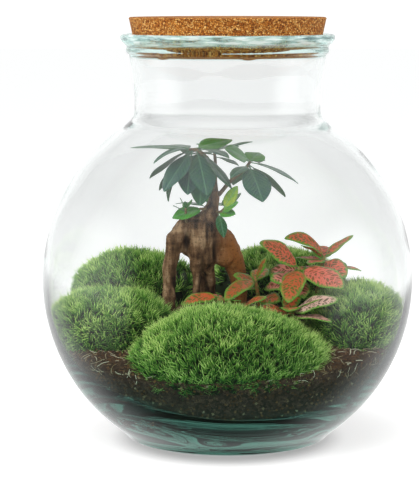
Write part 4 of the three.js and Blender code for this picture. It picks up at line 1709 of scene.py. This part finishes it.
FIG_SPRAYS = (
    Spray(
        "fig_spray_left",
        "ficus_spray_left",
        (
            (
                (-8, -0.5, 157, 1.5), (-10, 1, 169, 1.3), (-13.5, 0, 180, 1.3), (-19, -2, 185.5, 1.2),
                (-25, -2, 186.5, 0.9),
            ),
        ),
        (
            Leaf(1, 174, 3, 38, 12, 0.16, 12, -8), Leaf(1, -154, -16, 27, 11, 0.05, 55),
            Leaf(0.97, 155, -31, 35, 15, 0.0, 20), Leaf(0.93, -139, -46, 34, 20, 0.02, 15),
            Leaf(0.9, 155, -46, 36, 16, 0.0, 20), Leaf(0.95, -100, -62, 30, 16, 0.0, 12),
            Leaf(0.84, -69, -52, 33, 18, 0.04, 20), Leaf(0.55, -112, -72, 31, 17, 0.12, 12),
            Leaf(0.97, 150, -63, 40, 8, 0.05, 60), Leaf(0.8, -40, -8, 27, 12, 0.06, 40),
            Leaf(0.7, -22, -44, 30, 14, 0.1, 10), Leaf(0.92, 24, 13, 28, 16, 0.33, 12, 22),
            Leaf(0.9, 100, -10, 30, 15, 0.1, 30), Leaf(0.75, 90, -36, 30, 14, 0.05, 25),
            Leaf(0.55, 108, -50, 29, 14, 0.1, 15), Leaf(1, 122, 4, 24, 12, 0.1, 15),
        ),
    ),
    Spray(
        "fig_spray_top",
        "ficus_spray_top",
        (((-6.4, 1.6, 157.5, 1.3), (-7.5, 4, 168, 1.2), (-8, 8, 178, 1.1), (-9, 11, 186, 0.9)),),
        (
            Leaf(1, -20, 14, 27, 9, 0.12, 8, 10), Leaf(1, 120, 8, 22, 12, 0.3, 20),
            Leaf(1, 92, 8, 29, 14, 0.15, 30), Leaf(0.95, 54, 4, 27, 13, 0.25, 30),
            Leaf(0.8, -22, -16, 17, 9, 0.1, 20), Leaf(0.85, 140, -4, 25, 13, 0.1, 30),
        ),
    ),
    Spray(
        "fig_spray_right",
        "ficus_spray_right",
        (
            (
                (-5.4, -1.6, 158.4, 1.4), (1, -2.5, 166.5, 1.3), (7, -3.5, 171.5, 1.2),
                (12, -4, 175.5, 1.1), (14.5, -4, 179, 0.9),
            ),
        ),
        (
            Leaf(1, -150, 26, 20, 16, 0.3, 30, -40), Leaf(1, 10, -24, 35, 11, 0.1, 32, 12),
            Leaf(0.9, -62, -47, 29, 20, 0.05, 15), Leaf(0.85, -126, -18, 18, 11, 0.1, 20),
            Leaf(0.9, 32, -37, 36, 14, 0.1, 15), Leaf(0.97, 76, -4, 28, 14, 0.2, 30),
            Leaf(0.85, 118, -34, 22, 12, 0.1, 20), Leaf(0.8, 52, -42, 27, 13, 0.05, 15),
            Leaf(1, 62, 20, 15, 14, 0.34, 15, 15),
        ),
    ),
    Spray(
        "fig_sprig_low_right",
        "ficus_sprig_low_right",
        (((-9, -1.5, 147.5, 1.1), (-5, -5.5, 146.5, 1.1), (-2, -6.5, 149, 0.9)),),
        (
            Leaf(0.9, -12, 60, 19, 10, 0.62, 0, 60), Leaf(0.9, 35, 38, 18, 9, 0.4, 10),
            Leaf(0.5, -30, 30, 16, 9, 0.5, 0, 45), Leaf(0.3, -35, -2, 14, 9, 0.5, 0, 40),
            Leaf(0.35, -57, -68, 17, 8, 0.2, 10), Leaf(1, 62, 30, 17, 9, 0.4, 20),
        ),
    ),
    Spray(
        "fig_sprig_low_left",
        "ficus_sprig_low_left",
        (
            ((-11, -1, 148, 1.1), (-14.5, -4, 148.4, 1), (-18, -5.5, 148.4, 0.9)),
            ((-26.5, -5, 139, 1), (-27, -7, 144, 0.9), (-27, -7.5, 149, 0.8)),
        ),
        (
            Leaf(0.5, -170, -16, 22, 15, 0.42, 16, -24), Leaf(0.9, 180, 68, 9, 4, 0.3, stem=1),
            Leaf(0.9, -30, 58, 9, 4, 0.4, stem=1), Leaf(0.8, 165, 24, 9, 2.4, 0.2, stem=1),
            Leaf(0.9, 95, 40, 8, 4, 0.3, stem=1),
        ),
    ),
    Spray(
        "fig_sprig_back",
        "ficus_sprig_back",
        (((-14.5, 6.5, 140, 1.2), (-14, 12, 145, 1.1), (-13, 15, 150, 0.9)),),
        (
            Leaf(1, 95, 18, 24, 13, 0.2, 30), Leaf(0.8, 155, 2, 23, 12, 0.15, 30),
            Leaf(0.8, 28, 2, 22, 12, 0.3, 30), Leaf(1, 60, 58, 16, 9, 0.5),
        ),
    ),
)


@dataclass
class GinsengFig:
    """The fig: a trunk on swollen roots, and leafy twigs.

    Attributes:
        bark: The trunk's bark.
        skin: The leaves' material.
        twig: The twigs' bark.
        form: The leaves' shape.
        voxel: The size of the trunk's faces.
        bark_relief: How strongly furrows, bands and knobs stand out.
        furrow: The distance between furrows, which are far longer than wide.
        band: The distance between the bands round the trunk.
        knob: The distance between its knobs.
        cleft_depth: How deep the clefts between the legs are.
        swellings: Middles of swellings between the legs, with half their width and height.
        clefts: Place along X and Z, half width and half height of each cleft in front, which is pushed in
            and darkened with painted shade.
    """

    bark: FigBark = FigBark()
    skin: FigLeafSkin = FigLeafSkin()
    twig: YoungStem = YoungStem("fig_twig", "#4a3a26", "#7b6a48")
    form: LeafForm = LeafForm(0.13, 0.85, 0.66, 0.72, 0.16, 0.12, 0.3, 1.2)
    voxel: float = 0.75
    bark_relief: float = 0.6
    furrow: float = 3.4
    band: float = 2.2
    knob: float = 8.0
    cleft_depth: float = 1.5
    swellings: tuple[tuple[float, float, float, float, float], ...] = (
        (-24, 1, 123, 6.5, 6),
        (-15, 1, 121, 9.5, 14),
        (-2, 2, 117, 6.5, 6.5),
    )
    clefts: tuple[tuple[float, float, float, float], ...] = (
        (-26.8, 127, 1.6, 9),
        (-8, 121, 1.3, 9),
        (-16.4, 99, 1.5, 17),
        (-13, 133, 0.9, 6),
    )

    def rough_trunk(self) -> Object:
        """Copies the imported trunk, adds its swellings, and joins and eases both.

        Returns:
            The trunk, still without its bark.
        """
        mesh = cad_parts["ficus_trunk"].data.copy()
        drawn = bmesh.new()
        drawn.from_mesh(mesh)
        bmesh.ops.remove_doubles(drawn, verts=drawn.verts, dist=1e-6)
        for x, y, z, across, high in self.swellings:
            size = Matrix.Diagonal((across * MM, across * MM, high * MM, 1))
            place = Matrix.Translation((x * MM, y * MM, z * MM)) @ size
            bmesh.ops.create_icosphere(drawn, subdivisions=3, radius=1.0, matrix=place)
        drawn.to_mesh(mesh)
        drawn.free()
        piece = bpy.data.objects.new("fig_trunk", mesh)
        bpy.context.scene.collection.objects.link(piece)
        remesh = piece.modifiers.new("even", "REMESH")
        remesh.mode = "VOXEL"
        remesh.voxel_size = self.voxel * MM
        ease = piece.modifiers.new("ease", "SMOOTH")
        ease.factor = 0.6
        ease.iterations = 14
        settle(piece)
        return piece

    def build_trunk(self) -> None:
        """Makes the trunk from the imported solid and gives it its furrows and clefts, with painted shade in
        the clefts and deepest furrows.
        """
        piece = self.rough_trunk()
        fine = piece.data
        count = len(fine.vertices)
        flat, normals = np.zeros(count * 3), np.zeros(count * 3)
        fine.vertices.foreach_get("co", flat)
        fine.vertex_normals.foreach_get("vector", normals)
        points = flat.reshape(-1, 3) / MM
        furrow = -np.abs(lumps(points * (1, 1, 0.22), self.furrow, 2.0)) * 1.6
        bands = lumps(points * (0.2, 0.2, 1.3), self.band, 4.0) * 0.35
        knob = lumps(points, self.knob, 6.0) * 1.1
        # Painted shade: the clefts in front and the deepest furrows are darkened in the bark's colour,
        # besides being pushed in
        cleft = np.zeros(count)
        for x, z, wide, high in self.clefts:
            near = bell((points[:, 0] - x) / wide, (points[:, 2] - z) / high)
            cleft = np.maximum(cleft, near * (points[:, 1] < 5))
        painted_crease_shade = np.clip(cleft * 0.9 + np.clip(-furrow - 0.75, 0, 1) * 0.7, 0, 1)
        push = (furrow + bands + knob + 0.4) * self.bark_relief - self.cleft_depth * cleft
        points = points + normals.reshape(-1, 3) * push[:, None]
        fine.attributes.new(Grain.SHADE.value, "FLOAT", "POINT").data.foreach_set("value", painted_crease_shade)
        fine.vertices.foreach_set("co", (points * MM).ravel())
        fine.polygons.foreach_set("use_smooth", [True] * len(fine.polygons))
        fine.materials.clear()
        fine.materials.append(self.bark.material())
        fine.update()
        as_piece(piece, "bark", "ficus_trunk")

    def build(self) -> None:
        """Makes the trunk and every leafy twig."""
        self.build_trunk()
        skin, twig = self.skin.material(), self.twig.material()
        for spray in FIG_SPRAYS:
            spray.build(self.form, skin, twig, "fig_leaf")


# Nerve plant


NERVE_STEMS = (
    Spray(
        "nerve_stem_right",
        "fittonia_stem_right",
        (((55, 6, 68, 1.5), (57.5, 5, 86, 1.4), (60, 3, 102, 1.3), (63, 2, 117, 1.2)),),
        (
            Leaf(1, 12, 38, 25, 10, 0.3, 18, 15), Leaf(1, -166, 28, 33, 15, 0.3, 90, -30),
            Leaf(1, -150, 30, 20, 11, 0.6, 30), Leaf(0.97, 160, 2, 19, 13, 0.55, 20),
            Leaf(0.96, -120, 1, 20, 11, 0.5, 20), Leaf(0.95, -44, -24, 21, 16, 0.45, 40, 25),
            Leaf(0.8, -6, 2, 27, 12, 0.5, 45), Leaf(0.97, 88, 16, 25, 14, 0.4, 35),
            Leaf(0.9, 45, -8, 24, 14, 0.35, 40), Leaf(0.8, 128, -4, 25, 14, 0.5, 40),
        ),
    ),
    Spray(
        "nerve_stem_centre",
        "fittonia_stem_centre",
        (((41, -7, 70, 1.5), (43, -10, 88, 1.4), (45, -13, 102, 1.3), (46.5, -14, 112, 1.2)),),
        (
            Leaf(1, -160, 33, 33, 19, 0.42, 30, -42), Leaf(0.97, -37, -14, 35, 20, 0.62, 30, 24),
            Leaf(0.98, -108, -34, 31, 17, 0.12, 46), Leaf(0.75, -143, 4, 22, 13, 0.75, 20, -35),
            Leaf(0.6, -112, -38, 20, 13, 0.25, 20), Leaf(0.8, -80, -34, 19, 12, 0.7, 20),
            Leaf(0.97, 168, -8, 20, 14, 0.75, 30, -35), Leaf(0.7, 160, -14, 23, 13, 0.7, 35, -35),
            Leaf(0.9, 97, 0, 22, 13, 0.5, 35),
        ),
    ),
    Spray(
        "nerve_stem_front",
        "fittonia_stem_front",
        (((43, -21, 64, 1.4), (41, -27, 77, 1.3), (40, -31, 86, 1.1)),),
        (
            Leaf(1, -32, 17, 36, 18, 0.97, 30, 28), Leaf(0.95, -16, 20, 36, 10, 0.85, 45),
            Leaf(0.85, -46, 0, 35, 15, 0.9, 20), Leaf(0.9, -111, 6, 17, 9, 0.6, 30),
            Leaf(0.95, -95, 14, 18, 14, 0.2, 80), Leaf(0.9, -165, 16, 22, 13, 0.3, 30, -20),
        ),
    ),
    Spray(
        "nerve_stem_left",
        "fittonia_stem_left",
        (((24, -1, 72, 1.4), (21, -4, 88, 1.3), (18, -8, 104, 1.1)),),
        (
            Leaf(1, -126, -15, 34, 13, 0.06, 36, -15), Leaf(0.9, -160, 24, 17, 10, 0.0, 30, -35),
            Leaf(0.6, -50, 2, 20, 12, 0.15, 30, 30), Leaf(1, -35, 60, 18, 9, 0.02, 10, 50),
            Leaf(0.95, 75, 16, 22, 12, 0.15, 35), Leaf(0.8, 150, -6, 19, 11, 0.2, 30),
        ),
    ),
    Spray(
        "nerve_creeper",
        "fittonia_creeper",
        (((14, -22, 70, 1.3), (11, -24, 82, 1.3), (3, -26, 92, 1.2), (-6, -27, 94, 1)),),
        (
            Leaf(1, 178, -10, 25, 13, 0.18, 50, -25), Leaf(0.8, 148, 4, 19, 8, 0.4, 30),
            Leaf(0.5, -38, 24, 23, 13, 0.25, 26, 22), Leaf(0.6, -88, 22, 12, 7, 0.2, 40),
        ),
    ),
)


@dataclass
class NervePlant:
    """The nerve plant: soft stems with opposite net-veined leaves."""

    skin: NerveLeafSkin = NerveLeafSkin()
    stem: YoungStem = YoungStem("nerve_plant_stem", "#6b7a3c", "#a3703f")
    form: LeafForm = LeafForm(0.1, 0.8, 0.6, 0.62, 0.2, 0.18, 0.45, 1.6)

    def build(self) -> None:
        """Makes every stem with its leaves."""
        skin, stem = self.skin.material(), self.stem.material()
        for spray in NERVE_STEMS:
            spray.build(self.form, skin, stem, "nerve_leaf")


# Studio


@dataclass
class Studio:
    """The pale floor, the soft light and the camera.

    Attributes:
        camera_place: Where the camera stands, in metres.
        camera_pitch: Its tilt from straight down, in degrees.
        camera_turn: Its turn to the left, in degrees.
        lens: Its focal length on a sensor 36 mm wide.
        floor_reach_m: How far the floor reaches, in metres.
        floor_front_m: The floor's front edge along Y, in metres.
        backdrop: The strength of the white that the camera sees.
        soft_light: The strength of the white as light on the object.
        floor_glow: The floor's own light, which keeps it white.
        foot_shadow: What is left of that at the foot.
        dim_glow: The floor's light in the places that are dim through glass.
        dim_near: Where the dim place below the vessel ends, and fades out, in metres.
        dim_far: The same for light that the glass has mirrored.
        bounces: How often light may pass or meet glass.
        lamps: Each soft box's name, place and size in metres, and power.
    """

    camera_place: Point = (0.0, -1.280, 0.288)
    camera_pitch: float = 82.87
    camera_turn: float = 0.52
    lens: float = 148.5
    floor_reach_m: float = 9.0
    floor_front_m: float = -0.16
    backdrop: float = 1.08
    soft_light: float = 0.54
    floor_glow: float = 0.62
    foot_shadow: float = 0.46
    dim_glow: float = 0.09
    dim_near: tuple[float, float] = (0.09, 0.16)
    dim_far: tuple[float, float] = (0.4, 0.9)
    bounces: int = 28
    lamps: tuple[tuple[str, Point, float, float], ...] = (
        ("softbox_above", (-0.15, -0.25, 1.25), 1.1, 8.0),
        ("softbox_left", (-1.15, -0.75, 0.65), 0.7, 9.0),
        ("softbox_right", (1.2, -0.45, 0.55), 0.8, 3.0),
        ("softbox_front", (0.1, -1.5, 0.12), 0.9, 6.0),
    )

    def build_camera(self) -> None:
        """Places the camera at the photo's view."""
        lens = bpy.data.cameras.new("camera")
        lens.lens = self.lens
        lens.sensor_width = 36.0
        lens.clip_start = 0.01
        camera = bpy.data.objects.new("camera", lens)
        camera.location = self.camera_place
        camera.rotation_euler = (math.radians(self.camera_pitch), 0, math.radians(self.camera_turn))
        bpy.context.scene.collection.objects.link(camera)
        bpy.context.scene.camera = camera

    def floor_material(self) -> Material:
        """Makes the white card, faintly shaded at the foot and dim where glass shows it.

        Returns:
            The material.
        """
        material, add = new_material("white_studio_card")
        card = add(
            "BsdfPrincipled", "#dcdcdc", Roughness=0.9, Specular_IOR_Level=0.0,
            Emission_Color=STUDIO_WHITE, Emission_Strength=self.floor_glow,
        )
        # The lamps' rays pass the glass, so the card carries the faint shadow of the thick foot
        place = add("TexCoord").outputs["Object"]
        oval = add("Mapping", place, Location=(0, 0.006, 0), Scale=(1.2, 1, 1))
        from_foot = add("VectorMath", oval, operation="LENGTH")
        bare = add(
            "MapRange", from_foot, FOOT_RADIUS * MM, 1.5 * FOOT_RADIUS * MM, self.foot_shadow, 1.0,
            interpolation_type="SMOOTHSTEP",
        )
        shadow = add("BsdfTransparent", (0, 0, 0, 1))
        shaded = add("MixShader", bare, shadow, card)
        # Little light gets under the vessel, and light that the glass mirrors comes from a
        # dim room, so rays that have passed the glass see these places of the floor dim
        from_axis = add("VectorMath", place, operation="LENGTH")
        near = add("MapRange", from_axis, *self.dim_near, 1.0, 0.0)
        far = add("MapRange", from_axis, *self.dim_far, 1.0, 0.0)
        path = add("LightPath")
        mirrored = add("Math", path.outputs["Glossy Depth"], 0.5, operation="GREATER_THAN")
        far_mirrored = add("Math", far, mirrored, operation="MULTIPLY")
        dimmed = add("Math", near, far_mirrored, operation="MAXIMUM")
        passed = add("Math", dimmed, path.outputs["Is Transmission Ray"], operation="MULTIPLY")
        dim = add("Emission", STUDIO_WHITE, self.dim_glow)
        mix = add("MixShader", passed, shaded, dim)
        add("OutputMaterial", mix)
        return material

    def build_floor(self) -> None:
        """Lays the pale table top, whose front edge is just below the picture."""
        far, near = self.floor_reach_m / MM, self.floor_front_m / MM
        sketch = Sketch("floor")
        corners = [(-far, near, 0), (far, near, 0), (far, far, 0), (-far, far, 0)]
        sketch.add(np.array(corners), [(0, 1, 2, 3)])
        floor = sketch.finished([self.floor_material()])
        if floor.data.polygons[0].normal.z < 0:
            floor.data.flip_normals()
        floor.visible_glossy = False

    def build_world(self) -> None:
        """Surrounds the object with white, darker where the glass would mirror the front."""
        world = bpy.data.worlds.new("studio")
        bpy.context.scene.world = world
        world.use_nodes = True
        world.node_tree.nodes.clear()
        add = partial(add_node, world.node_tree)
        parts = add("SeparateXYZ", add("TexCoord").outputs["Generated"]).outputs
        beside = add("Math", parts["X"], operation="ABSOLUTE")
        bright = 0.0
        for way, start, end in ((beside, 0.8, 1.0), (parts["Y"], 0.05, 0.7), (parts["Z"], 0.4, 1.0)):
            part = add("MapRange", way, start, end, interpolation_type="SMOOTHSTEP")
            bright = add("Math", bright, part, operation="MAXIMUM")
        around = add("MapRange", bright, 0.0, 1.0, 0.05, self.backdrop)
        path = add("LightPath").outputs
        in_glass = add("Math", path["Is Glossy Ray"], path["Is Transmission Ray"], operation="MAXIMUM")
        bounced = add("Math", path["Glossy Depth"], 0.5, operation="GREATER_THAN")
        through = add("Mix", bounced, self.backdrop, around, data_type="FLOAT")
        lit = add("Mix", in_glass, self.soft_light, through, data_type="FLOAT")
        strength = add("Mix", path["Is Camera Ray"], lit, self.backdrop, data_type="FLOAT")
        sky = add("Background", STUDIO_WHITE, strength)
        add("OutputWorld", sky)

    def build_lamps(self) -> None:
        """Hangs soft boxes above, at the left, at the right and low in front."""
        for name, place, size, power in self.lamps:
            lamp = bpy.data.lights.new(name, "AREA")
            lamp.shape = "SQUARE"
            lamp.size = size
            lamp.energy = power
            hung = bpy.data.objects.new(name, lamp)
            hung.location = place
            aim = Vector((0, 0, 0.1)) - Vector(place)
            hung.rotation_euler = aim.to_track_quat("-Z", "Y").to_euler()
            hung.visible_glossy = False
            hung.visible_transmission = False
            hung.visible_camera = False
            bpy.context.scene.collection.objects.link(hung)

    def build(self) -> None:
        """Builds the studio and sets how its light turns into the picture's colours."""
        self.build_camera()
        self.build_floor()
        self.build_world()
        self.build_lamps()
        colours, light = bpy.context.scene.view_settings, bpy.context.scene.cycles
        colours.view_transform = "Standard"
        colours.look = "None"
        light.max_bounces = light.transmission_bounces = light.glossy_bounces = self.bounces
        light.transparent_max_bounces = 16
        light.caustics_reflective = light.caustics_refractive = False
        light.sample_clamp_indirect = 4.0


def main() -> None:
    """Builds the studio and every part of the terrarium."""
    logging.basicConfig(level=logging.INFO, format="%(message)s")
    Studio().build()
    vessel = GlassVessel()
    vessel.build()
    CorkLid().build()
    SoilBed(vessel).build()
    MossBed(vessel).build()
    GinsengFig().build()
    NervePlant().build()


if __name__ == "__main__":
    main()
